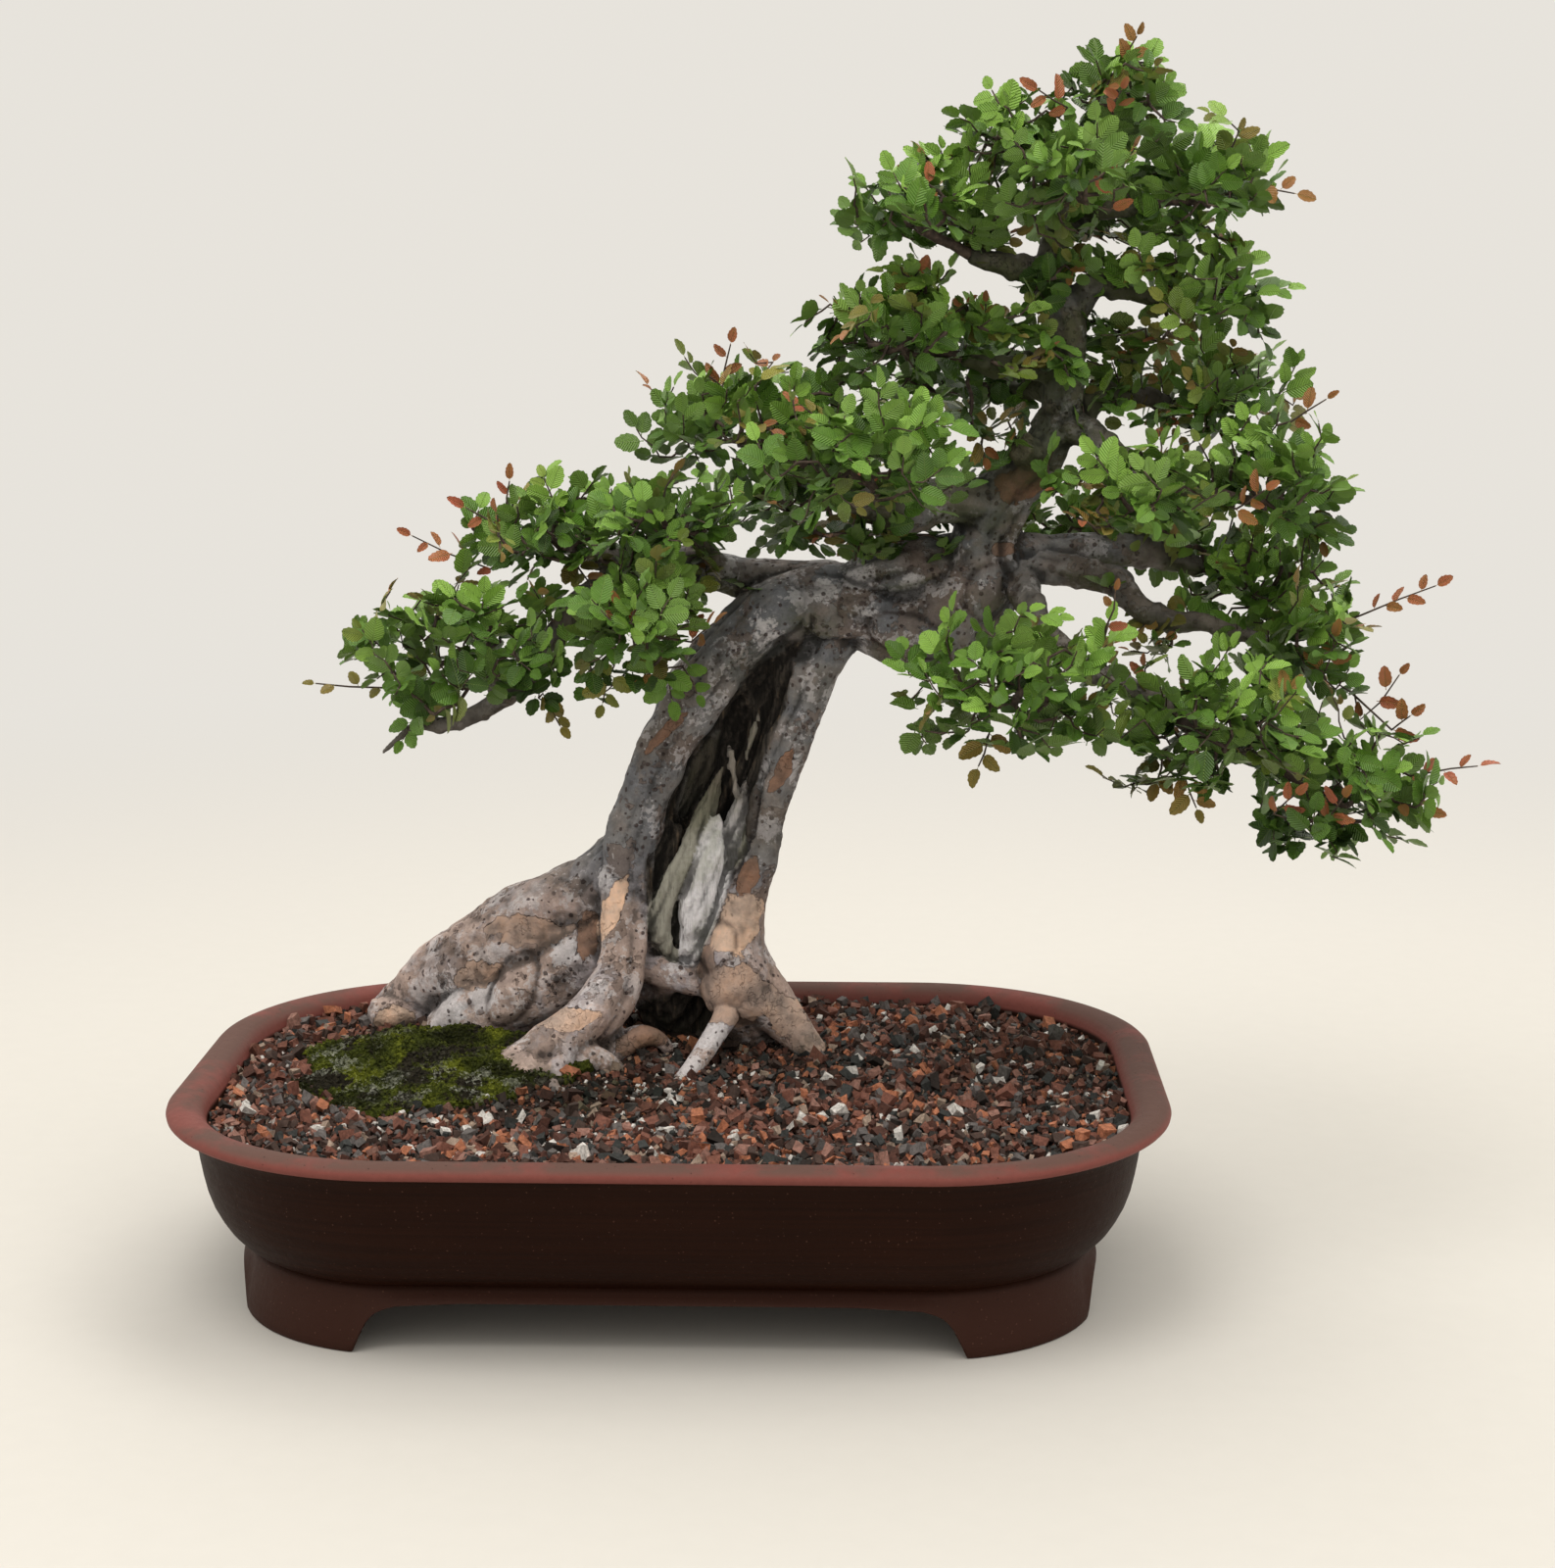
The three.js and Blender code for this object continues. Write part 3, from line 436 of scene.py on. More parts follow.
def move_to(mesh, places):
    """Moves the mesh's vertices to rows of metres."""
    mesh.vertices.foreach_set("co", np.asarray(places, np.float32).ravel())
    mesh.update()


def smooth_step(low, high, values):
    """0 below low, 1 above high, and a soft rise between them. It falls where low is above high."""
    share = np.clip((values - low) / (high - low), 0, 1)
    return share * share * (3 - 2 * share)


def noise_at(places, scale, depth, seed):
    """Cloudy noise, about -1 to 1, at rows of places, where scale is the size of its largest spots."""
    start = Vector((seed, seed * 1.7, -seed))
    return np.array([noise.fractal(Vector(row) / scale + start, 1.0, 2.0, depth) for row in places])


def modified(mesh, *steps):
    """The mesh after a row of modifiers, each given as (kind, settings)."""
    holder = bpy.data.objects.new("holder", mesh)
    bpy.context.scene.collection.objects.link(holder)
    for kind, settings in steps:
        modifier = holder.modifiers.new(kind.title(), kind)
        for name, value in settings.items():
            setattr(modifier, name, value)
    graph = bpy.context.evaluated_depsgraph_get()
    result = bpy.data.meshes.new_from_object(holder.evaluated_get(graph))
    bpy.data.objects.remove(holder)
    bpy.data.meshes.remove(mesh)
    return result


def extrude_rings(bm, rings):
    """A skin through rings of places with the same count, made by extruding the first ring."""
    circle = bmesh.ops.create_circle(bm, segments=len(rings[0]), radius=1)
    ring = circle["verts"]
    first = list(ring)
    for place, vertex in zip(rings[0], ring):
        vertex.co = place
    edges = [edge for edge in bm.edges if edge.verts[0] in ring and edge.verts[1] in ring]
    for places in rings[1:]:
        made = bmesh.ops.extrude_edge_only(bm, edges=edges)["geom"]
        new = {item for item in made if isinstance(item, bmesh.types.BMVert)}
        edges = [item for item in made if isinstance(item, bmesh.types.BMEdge)]
        edges = [edge for edge in edges if edge.verts[0] in new and edge.verts[1] in new]
        ring = [next(e.other_vert(v) for e in v.link_edges if e.other_vert(v) in new) for v in ring]
        for place, vertex in zip(places, ring):
            vertex.co = place
    return first, ring


def ring_edges(ring):
    """The edges that join the vertices of a closed ring."""
    pairs = zip(ring, ring[1:] + ring[:1])
    return [next(edge for edge in a.link_edges if edge.other_vert(a) is b) for a, b in pairs]


def closed_skin(rings, name):
    """A smooth closed mesh through rings of places, with its two ends filled."""
    bm = bmesh.new()
    for ring in extrude_rings(bm, rings):
        bmesh.ops.contextual_create(bm, geom=ring_edges(ring))
    bmesh.ops.triangulate(bm, faces=[face for face in bm.faces if len(face.verts) > 4])
    bmesh.ops.recalc_face_normals(bm, faces=bm.faces)
    return smoothed(mesh_of(bm, name))


def through(stations, steps=LIMB_STEPS):
    """Places and radii on a smooth curve through stations, with so many steps to each span."""
    knots = [Vector(station[:3]) for station in stations]
    radii = [station[3] for station in stations]
    knots = [2 * knots[0] - knots[1], *knots, 2 * knots[-1] - knots[-2]]
    line = []
    for i in range(len(stations) - 1):
        before, start, end, after = knots[i : i + 4]
        first = (start - before).length ** 0.5
        middle = (end - start).length ** 0.5
        last = (after - end).length ** 0.5
        leave = (start - before) / first - (end - before) / (first + middle) + (end - start) / middle
        reach = (end - start) / middle - (after - start) / (middle + last) + (after - end) / last
        for step in range(steps):
            t = step / steps
            ease = t * t * (3 - 2 * t)
            bow = (t**3 - 2 * t * t + t) * leave + (t**3 - t * t) * reach
            line.append((start.lerp(end, ease) + bow * middle, radii[i] + (radii[i + 1] - radii[i]) * t))
    line.append((knots[-2], radii[-1]))
    return line


def branch_line(path):
    """The crooked line of a side branch through its stations."""
    noise.seed_set(CROOK_SEED)  # without it, noise_vector differs from run to run
    line = through(path)
    swell = math.pi / (len(line) - 1)
    crooked = []
    for i, (place, radius) in enumerate(line):
        off = noise.noise_vector(place / CROOK_SIZE) * (CROOK * math.sin(i * swell))
        crooked.append((place + off, radius))
    return crooked


def tubes(name, lines, sides):
    """Closed round tubes along lines of (place, radius) in the tables' millimetres."""
    curve = bpy.data.curves.new(name, "CURVE")
    curve.dimensions = "3D"
    curve.bevel_depth = 1.0
    curve.bevel_resolution = (sides - 4) // 2
    curve.use_fill_caps = True
    for line in lines:
        spline = curve.splines.new("POLY")
        spline.points.add(len(line) - 1)
        for point, (place, radius) in zip(spline.points, line):
            point.co = (*placed(*place), 1)
            point.radius = radius * MM
    holder = bpy.data.objects.new(name, curve)
    mesh = bpy.data.meshes.new_from_object(holder)
    bpy.data.objects.remove(holder)
    bpy.data.curves.remove(curve)
    return mesh


def joined(meshes, name):
    """One mesh of several, which are removed."""
    bm = bmesh.new()
    for mesh in meshes:
        bm.from_mesh(mesh)
        bpy.data.meshes.remove(mesh)
    return mesh_of(bm, name)


def copies(bm, variants, count):
    """Doubles a bmesh of like variants until it holds at least count, and drops the rest."""
    made = variants
    while made < count:
        bmesh.ops.duplicate(bm, geom=bm.verts[:] + bm.edges[:] + bm.faces[:])
        made *= 2
    each = len(bm.verts) // made
    bm.verts.ensure_lookup_table()
    spare = bm.verts[count * each :]
    if spare:
        bmesh.ops.delete(bm, geom=spare, context="VERTS")
    return each


def scatter(mesh, each, feet, frames, sizes):
    """Moves the copies in a mesh to feet, turned by frames whose columns are their axes, and sized."""
    local = places_of(mesh).reshape(-1, each, 3) * np.asarray(sizes).reshape(-1, 1, 3)
    turned = np.einsum("nij,nvj->nvi", frames, local)
    move_to(mesh, (turned + np.asarray(feet)[:, None, :]).reshape(-1, 3))


def random_turns(count, rng):
    """Frames turned at random."""
    q = rng.normal(size=(count, 4))
    q /= np.linalg.norm(q, axis=1)[:, None]
    w, x, y, z = q.T
    rows = [
        [1 - 2 * (y * y + z * z), 2 * (x * y - z * w), 2 * (x * z + y * w)],
        [2 * (x * y + z * w), 1 - 2 * (x * x + z * z), 2 * (y * z - x * w)],
        [2 * (x * z - y * w), 2 * (y * z + x * w), 1 - 2 * (x * x + y * y)],
    ]
    return np.moveaxis(np.array(rows), 2, 0)


def cad_tree(node):
    """A search tree of a CAD node's surface."""
    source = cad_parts[node].data
    bm = bmesh.new()
    bm.from_mesh(source)
    bmesh.ops.remove_doubles(bm, verts=bm.verts, dist=1e-6)
    tree = BVHTree.FromBMesh(bm)
    bm.free()
    return tree


# Materials


def feed(socket, value):
    """Joins a wire to a socket, or sets the socket's own value."""
    if isinstance(value, Wire):
        value.tree.links.new(value.socket, socket)
    elif socket.type == "RGBA":
        socket.default_value = (*value[:3], 1)
    else:
        socket.default_value = value


def node(tree, kind, inputs=None, out=0, **settings):
    """The wire from one output of a new node with its settings and inputs."""
    made = tree.nodes.new("ShaderNode" + kind)
    for name, value in settings.items():
        setattr(made, name, value)
    for name, value in (inputs or {}).items():
        feed(made.inputs[name], value)
    return Wire(tree, made.outputs[out])


class Wire:
    """A node's output. Sums, products and the methods below lead it into new nodes."""

    def __init__(self, tree, socket):
        self.tree = tree
        self.socket = socket

    def output(self, which):
        """Another output of the same node, by its name or number."""
        return Wire(self.tree, self.socket.node.outputs[which])

    def maths(self, operation, other=0.0):
        """The result of a Math node that has this value first."""
        return node(self.tree, "Math", {0: self, 1: other, 2: 0.0}, operation=operation)

    def __add__(self, other):
        return self.maths("ADD", other)

    def __sub__(self, other):
        return self.maths("SUBTRACT", other)

    def __rsub__(self, other):
        return node(self.tree, "Math", {0: other, 1: self, 2: 0.0}, operation="SUBTRACT")

    def __mul__(self, other):
        return self.maths("MULTIPLY", other)

    def __truediv__(self, other):
        return self.maths("DIVIDE", other)

    def most(self, other):
        """The larger of two values."""
        return self.maths("MAXIMUM", other)

    def span(self, low, high):
        """This value as a share: 0 at low, 1 at high."""
        return node(self.tree, "MapRange", {0: self, 1: low, 2: high})

    def part(self, axis):
        """One axis of a vector."""
        return node(self.tree, "SeparateXYZ", {0: self}, axis)

    def mix(self, a, b):
        """Two colours mixed by this value."""
        return node(self.tree, "Mix", {0: self, 6: a, 7: b}, 2, data_type="RGBA")

    def toward(self, colour, share, mode="MIX"):
        """This colour led towards another by a share."""
        return node(self.tree, "Mix", {0: share, 6: self, 7: colour}, 2, data_type="RGBA", blend_type=mode)

    def tint(self, colour):
        """This colour multiplied by another."""
        return self.toward(colour, 1.0, "MULTIPLY")

    def ramp(self, *stops, steps=False):
        """This value turned into colours or greys by stops of (place, colour)."""
        made = self.tree.nodes.new("ShaderNodeValToRGB")
        feed(made.inputs["Fac"], self)
        made.color_ramp.interpolation = "CONSTANT" if steps else "LINEAR"
        points = made.color_ramp.elements
        points[0].position = stops[0][0]
        points[1].position = stops[-1][0]
        for place, _ in stops[1:-1]:
            points.new(place)
        for point, (_, colour) in zip(points, stops):
            point.color = (colour, colour, colour, 1) if isinstance(colour, (int, float)) else (*colour, 1)
        return Wire(self.tree, made.outputs["Color"])

    def stretched(self, *scale):
        """These coordinates with each axis scaled."""
        return node(self.tree, "Mapping", {"Vector": self, "Scale": scale})

    def cloud(self, scale, detail, roughness=0.55):
        """A Noise texture's value at these coordinates."""
        return node(self.tree, "TexNoise", {0: self, 2: scale, 3: detail, 4: roughness})

    def speckles(self, scale, size, share, wobble=0.3):
        """Small round spots at these coordinates, such as pores and grit."""
        return shared_mask(self, speckle_mask, SPECKLES, (scale, size, share, wobble))

    def patches(self, scale, level, softness, ragged):
        """Ragged patches at these coordinates."""
        return shared_mask(self, patch_mask, PATCHES, (scale, level, softness, ragged))


def speckle_mask(where, scale, size, share, wobble):
    """Small round spots with random sizes, such as pores, grit and lichen."""
    tree = where.tree
    shift = node(tree, "TexNoise", {"Vector": where, "Scale": scale, "Detail": 2}, "Color")
    off = node(tree, "VectorMath", {0: shift, 1: (0.5, 0.5, 0.5)}, operation="SUBTRACT")
    off = node(tree, "VectorMath", {0: off, "Scale": wobble / scale}, operation="SCALE")
    moved = node(tree, "VectorMath", {0: where, 1: off}, operation="ADD")
    cells = node(tree, "TexVoronoi", {"Vector": moved, "Scale": scale}, "Distance")
    pick = node(tree, "SeparateColor", {0: cells.output("Color")})
    inside = (1.0 - cells / (size * (pick.output(1) + 0.5))) * 3.0
    return node(tree, "Clamp", {0: inside * pick.maths("LESS_THAN", share)})


def patch_mask(where, scale, level, softness, ragged):
    """Ragged patches where slow noise is above a level, with soft or crisp edges."""
    edge = (where.cloud(scale * 7.0, 4, 0.5) - 0.5) * ragged
    height = where.cloud(scale, 1.5, 0.5) + edge * 0.4
    return height.span(level - softness, level + softness)


# The shared groups: their names, and their inputs with the values that they start from
SPECKLES = ("Speckles", {"Scale": 200.0, "Size": 0.2, "Share": 0.5, "Wobble": 0.3})
PATCHES = ("Patches", {"Scale": 30.0, "Level": 0.5, "Softness": 0.05, "Ragged": 0.5})


def shared_mask(where, build, group, values):
    """A mask group placed in a material. The group is made once, with a mask that build works out."""
    name, titles = group
    if name not in bpy.data.node_groups:
        tree = bpy.data.node_groups.new(name, "ShaderNodeTree")
        tree.interface.new_socket("Vector", in_out="INPUT", socket_type="NodeSocketVector")
        for title, default in titles.items():
            socket = tree.interface.new_socket(title, in_out="INPUT", socket_type="NodeSocketFloat")
            socket.default_value = default
        tree.interface.new_socket("Mask", in_out="OUTPUT", socket_type="NodeSocketFloat")
        start = tree.nodes.new("NodeGroupInput")
        end = tree.nodes.new("NodeGroupOutput")
        feed(end.inputs["Mask"], build(*[Wire(tree, start.outputs[title]) for title in ("Vector", *titles)]))
    made = where.tree.nodes.new("ShaderNodeGroup")
    made.node_tree = bpy.data.node_groups[name]
    for title, value in zip(("Vector", *titles), (where, *values)):
        feed(made.inputs[title], value)
    return Wire(where.tree, made.outputs["Mask"])


class Finish:
    """A new material with its tree, its shader's inputs and the object's own coordinates."""

    def __init__(self, name, roughness, specular):
        self.material = bpy.data.materials.new(name)
        self.material.use_nodes = True
        self.tree = self.material.node_tree
        self.shader = self.tree.nodes["Principled BSDF"].inputs
        self.shader["Roughness"].default_value = roughness
        self.shader["Specular IOR Level"].default_value = specular
        self.where = node(self.tree, "TexCoord", out="Object")

    def facing(self):
        """How far the surface faces upwards."""
        return node(self.tree, "NewGeometry", out="Normal").part(2)

    def read(self, name):
        """A number that the mesh keeps for each vertex."""
        return node(self.tree, "Attribute", out="Fac", attribute_name=name)

    def done(self, colour, *bumps, **others):
        """The material with its colour, its bumps of (height, metres deep), and other inputs."""
        feed(self.shader["Base Color"], colour)
        for name, value in others.items():
            feed(self.shader[name.replace("_", " ").title()], value)
        normal = None
        for height, depth in bumps:
            inputs = {"Height": height, "Distance": depth, "Strength": 1.0}
            if normal:
                inputs["Normal"] = normal
            normal = node(self.tree, "Bump", inputs)
        if normal:
            feed(self.shader["Normal"], normal)
        return self.material


def scaled(colour, share):
    """A colour made darker or brighter."""
    return [c * share for c in colour]


# The pot


def pot_outline(inset):
    """Places round the pot's rounded rectangle, set in from the rim by a distance."""
    half_length = (POT_BOX[1].x - POT_BOX[0].x) / 2 / MM + 1 - POT_CORNER
    half_depth = (POT_BOX[1].y - POT_BOX[0].y) / 2 / MM + 1 - POT_CORNER
    corners = [(half_length, half_depth), (-half_length, half_depth)]
    corners += [(-half_length, -half_depth), (half_length, -half_depth)]
    radius = POT_CORNER - inset
    line = []
    for quarter, (x, y) in enumerate(corners):
        for step in range(CORNER_STEPS + 1):
            angle = (quarter + step / CORNER_STEPS) * math.pi / 2
            line.append((x + radius * math.cos(angle), y + radius * math.sin(angle)))
        start = line[-1]
        turn = (quarter + 1) * math.pi / 2
        next_x, next_y = corners[(quarter + 1) % 4]
        end = (next_x + radius * math.cos(turn), next_y + radius * math.sin(turn))
        for step in range(1, SIDE_STEPS):
            share = step / SIDE_STEPS
            line.append((start[0] + (end[0] - start[0]) * share, start[1] + (end[1] - start[1]) * share))
    return line


def foot_bottom(x, y):
    """Height of the foot band's lower edge: 0 under the feet, and arched between them."""
    distances, heights = zip(*FOOT_ARCH)
    front = np.interp(FRONT_GAP - abs(x), distances, heights)
    side = np.interp(SIDE_GAP - abs(y), distances, heights)
    return max(front, side)


def clay_pot_mesh():
    """The pot: a closed wall over the rim and down to the feet, and a floor with two drain holes."""
    rings = [[placed(x, y, z) for x, y in pot_outline(inset)] for inset, z in POT_WALL]
    top = POT_WALL[-1][1]
    for inset, share in FOOT_BAND:
        under = SKIRT_TOP if inset > 50 else top
        ring = []
        for x, y in pot_outline(inset):
            low = foot_bottom(x, y)
            ring.append(placed(x, y, under + (low - under) * share))
        rings.append(ring)
    bm = bmesh.new()
    inner, outer = extrude_rings(bm, rings)
    holes = {}
    for ring, height in ((inner, POT_WALL[0][1]), (outer, SKIRT_TOP)):
        edges = ring_edges(ring)
        for side in (-1, 1):
            middle = Matrix.Translation(placed(side * DRAIN_HOLE["x"], 0, height))
            steps = DRAIN_HOLE["steps"]
            circle = bmesh.ops.create_circle(
                bm, segments=steps, radius=DRAIN_HOLE["radius"] * MM, matrix=middle
            )["verts"]
            around = [edge for edge in bm.edges if edge.verts[0] in circle and edge.verts[1] in circle]
            edges += around
            holes.setdefault(side, []).extend(around)
        bmesh.ops.triangle_fill(bm, use_beauty=True, use_dissolve=False, edges=edges)
    for edges in holes.values():
        bmesh.ops.bridge_loops(bm, edges=edges)
    bmesh.ops.recalc_face_normals(bm, faces=bm.faces)
    for edge in bm.edges:
        edge.smooth = edge.calc_face_angle(0) < CREASE_ANGLE
    return smoothed(mesh_of(bm, "clay_pot"))


def clay_material(colours):
    """Unglazed clay: brick red and worn grey-brown on the rim, darker on the wall and under the rim's lip,
    partly the clay's own tone and partly painted shade, with a fine grain.
    """
    clay = Finish("Unglazed clay", 0.58, 0.08)
    where = clay.where
    height = where.part(2)
    slow = where.cloud(14, 3)
    fast = where.cloud(260, 5, 0.7)
    lines = where.stretched(6, 6, 420)
    # The wall's dark tone is partly the clay's own colour and partly painted shade.
    wall = slow.mix(colours.wall_and_shade_colour, scaled(colours.wall_and_shade_colour, 1.7))
    wall = wall.tint(lines.cloud(1.0, 3).ramp((0.35, 0.82), (0.65, 1.12)))
    foot_tone = [c * share for c, share in zip(colours.wall_and_shade_colour, FOOT_TINT)]
    wall = wall.toward(foot_tone, height.span(*FOOT_CREASE).ramp((0, 1), (1, 0)))
    rim = fast.mix(colours.rim_colour, scaled(colours.rim_colour, 0.72))
    worn = where.patches(20, 0.43, 0.09, 0.8) * (clay.facing().span(0.35, 0.9) * 0.85)
    rim = rim.toward(colours.worn_colour, worn)
    # Painted shade: below the rim edge, the underside of the rim's lip keeps the wall's dark tone.
    colour = wall.toward(rim, (height + (slow - 0.5) * 0.004).span(*RIM_EDGE))
    colour = colour.toward((0.2, 0.1, 0.07), where.speckles(420, 0.16, 0.3) * 0.22)
    dark = where.speckles(300, 0.14, 0.25)
    colour = colour.toward((0.03, 0.013, 0.01), dark * 0.55)
    bumps = [(lines.cloud(0.6, 2), 0.00025), (fast, 0.0002), (dark, -0.0002), (slow, 0.001)]
    return clay.done(colour, *bumps, roughness=fast * 0.25 + worn * 0.15 + 0.42)


# The ground


def ground(x, y):
    """Height of the soil: it rises towards the foot of the trunk."""
    return SOIL_EDGE + 9.5 * np.exp(-(((x + 40) / 150) ** 2) - ((y - 60) / 110) ** 2)


def soil_bed_mesh():
    """The bed that fills the pot, with a slightly lumpy top."""
    rings = [[placed(x, y, z) for x, y in pot_outline(inset)] for inset, z in SOIL_WALL]
    for ring in range(SOIL_RINGS):
        share = 1 - ring / SOIL_RINGS
        line = []
        for x, y in pot_outline(SOIL_INSET):
            point = Vector((x * share, y * share, 0))
            lump = 0.9 * noise.fractal(point / 14, 1.0, 2.0, 3)
            line.append(placed(point.x, point.y, ground(point.x, point.y) - BED_DEPTH + lump))
        rings.append(line)
    return closed_skin(rings, "soil_bed")


def stones_mesh(name, feet, sizes, rng):
    """Small angular chips, each turned at random: feet in metres and three half sizes each."""
    bm = bmesh.new()
    for _ in range(CHIP_VARIANTS):
        for vertex in bmesh.ops.create_cube(bm, size=1.5)["verts"]:
            vertex.co = vertex.co * (1 + 0.3 * rng.uniform(-1, 1)) + Vector(rng.uniform(-0.2, 0.2, 3))
    bmesh.ops.triangulate(bm, faces=bm.faces)
    each = copies(bm, CHIP_VARIANTS, len(feet))
    mesh = mesh_of(bm, name)
    scatter(mesh, each, feet, random_turns(len(feet), rng), sizes)
    return mesh, each


def moss_lobe(angle):
    """Reach of the moss cushion's ragged outline, as a share of its half sizes."""
    ragged = 0.06 * math.sin(7 * angle + 2) + 0.035 * math.sin(13 * angle) + 0.025 * math.sin(22 * angle + 1)
    return 1 + 0.1 * math.sin(3 * angle + 1) + ragged


def moss_place(angle, share):
    """A place on the moss cushion, in a direction and at a share of the way out to its outline."""
    reach = moss_lobe(angle) * share
    x = MOSS["x"] + MOSS["half_length"] * reach * math.cos(angle)
    return x, MOSS["y"] + MOSS["half_depth"] * reach * math.sin(angle)


def moss_share(x, y):
    """How far out on the moss cushion a place is, where 1 is its outline."""
    across = (x - MOSS["x"]) / MOSS["half_length"]
    deep = (y - MOSS["y"]) / MOSS["half_depth"]
    return math.hypot(across, deep) / moss_lobe(math.atan2(deep, across))


def strewn(count, rng, keep):
    """Places on the soil, as even as a golden spiral, where keep(x, y) holds."""
    outline = np.array(pot_outline(SOIL_INSET + 1.5))
    angles = np.arctan2(outline[:, 1], outline[:, 0])
    order = np.argsort(angles)
    reach = np.hypot(outline[:, 0], outline[:, 1])[order]
    angles = angles[order]
    spots = []
    for i in range(count):
        turn = (i * GOLDEN_ANGLE + math.pi) % (2 * math.pi) - math.pi
        edge = np.interp(turn, angles, reach, period=2 * math.pi)
        radius = edge * math.sqrt((i + 0.5) / count)
        x = radius * math.cos(turn) + rng.normal() * 1.2
        y = radius * math.sin(turn) + rng.normal() * 1.2
        if keep(x, y):
            spots.append((x, y))
    return spots


# Places where the soil is dark and damp, and where white grit lies: [x, y, half width, half depth, amount]
DAMP = [
    [-50, -40, 60, 38, 1], [-5, 70, 70, 60, 0.9], [-100, -60, 60, 22, 0.7], [60, 20, 60, 40, 0.55],
    [220, 70, 90, 90, 0.6], [-200, 60, 50, 40, 0.5],
]
WHITE = [
    [-4, 100, 16, 30, 0.8], [-14, -88, 14, 18, 0.6], [-10, -50, 22, 22, 0.5], [-112, -22, 26, 16, 0.7],
    [-20, -120, 24, 20, 0.35], [20, -20, 24, 20, 0.35], [-60, -110, 30, 20, 0.3],
    [-150, -88, 40, 18, 0.2],
]


def spread_at(table, x, y):
    """The largest amount that a table of soft spots gives at a place."""
    return max(a * math.exp(-(((x - u) / w) ** 2) - ((y - v) / d) ** 2) for u, v, w, d, a in table)


def stone_material(colours):
    """Crushed clay granules: brick, orange, brown, grey, tan and white, dark where they are damp."""
    stone = Finish("Soil granules", 0.85, 0.3)
    shades = [
        (0.0, colours.brick_colour), (0.2, scaled(colours.brick_colour, 0.42)), (0.33, colours.orange_colour),
        (0.42, (0.07, 0.042, 0.033)), (0.58, (0.135, 0.12, 0.115)), (0.68, (0.042, 0.044, 0.042)),
        (0.80, (0.3, 0.155, 0.12)), (0.88, (0.35, 0.26, 0.2)), (0.93, (0.022, 0.016, 0.013)),
        (0.965, (0.66, 0.63, 0.59)),
    ]
    fired = stone.read("kind").ramp(*shades, steps=True)
    colour = fired.tint(stone.where.cloud(520, 4, 0.7).ramp((0.3, 0.45), (0.7, 1.3)))
    colour = colour.toward(colour.tint((0.2, 0.24, 0.17)), stone.read("damp"))
    return stone.done(colour, (stone.where.cloud(1400, 4, 0.7), 0.0004))


def bed_material():
    """The fine dark earth between the granules."""
    earth = Finish("Fine soil", 0.9, 0.2)
    tone = earth.where.cloud(500, 6, 0.75)
    tones = [(0.3, (0.010, 0.007, 0.005)), (0.55, (0.035, 0.022, 0.016)), (0.75, (0.10, 0.055, 0.04))]
    return earth.done(tone.ramp(*tones), (tone, 0.0015), (earth.where.speckles(380, 0.4, 0.8), 0.001))


# Where a whitish crust lies on the moss: [x, y, half width, half depth, amount]
MOSS_CRUST = [
    [-118, -38, 40, 22, 1], [-205, -6, 26, 40, 1], [-150, -46, 40, 16, 0.8], [-178, 34, 22, 12, 0.8],
]


def moss_height(x, y):
    """Height of the moss above the soil at a place, with soft lumps, or None outside it."""
    share = moss_share(x, y)
    if share >= 1:
        return None
    lumps = noise.fractal(Vector((x, y, 3)) / 26, 1.0, 2.0, 3)
    tufts = noise.fractal(Vector((x, y, 9)) / 6, 0.9, 2.0, 3)
    slope = min(1.6, 1 + (y - MOSS["y"]) / 90)
    return 1.6 + (MOSS["height"] * slope + 8 * lumps) * math.sqrt(1 - share * share) + 1.5 * tufts


def moss_cushion_mesh():
    """The cushion: a disc of rings laid over the ground, raised into lumps, closed underneath."""
    rings = []
    shares = [0.9, 1.0] + [1 - (i / MOSS_RINGS) ** 1.15 for i in range(1, MOSS_RINGS)]
    for level, share in enumerate(shares):
        line = []
        for i in range(MOSS_TURNS):
            x, y = moss_place(i / MOSS_TURNS * 2 * math.pi, share * 0.999)
            rise = -1.5 if level < 2 else moss_height(x, y)
            line.append(placed(x, y, ground(x, y) + rise))
        rings.append(line)
    return closed_skin(rings, "moss_cushion")


def moss_material(colours):
    """Deep green moss with brighter tips and a whitish crust of lichen."""
    moss = Finish("Moss", 0.9, 0.15)
    where = moss.where
    fine = where.cloud(420, 6, 0.75)
    green = fine.ramp((0.3, scaled(colours.moss_colour, 0.22)), (0.52, colours.moss_colour),
                      (0.78, colours.tip_colour))
    tones = [(0.36, (0.3, 0.28, 0.3)), (0.5, (0.95, 0.92, 0.9)), (0.62, (2.2, 2.0, 1.3))]
    green = green.tint(where.cloud(38, 3).ramp(*tones))
    earth = fine.ramp((0.3, (0.010, 0.009, 0.005)), (0.7, (0.05, 0.042, 0.026)))
    colour = green.toward(earth, where.patches(36, 0.56, 0.04, 1.2))
    crust = where.patches(60, 0.55, 0.02, 1.4) * moss.read("crust")
    crust = crust * where.cloud(300, 5, 0.7).ramp((0.42, 0.0), (0.56, 1.0))
    colour = colour.toward(fine.ramp((0.3, (0.18, 0.19, 0.14)), (0.65, (0.55, 0.56, 0.46))), crust)
    return moss.done(colour, (fine, 0.003), (where.speckles(700, 0.5, 0.9), 0.0012))


# The wood

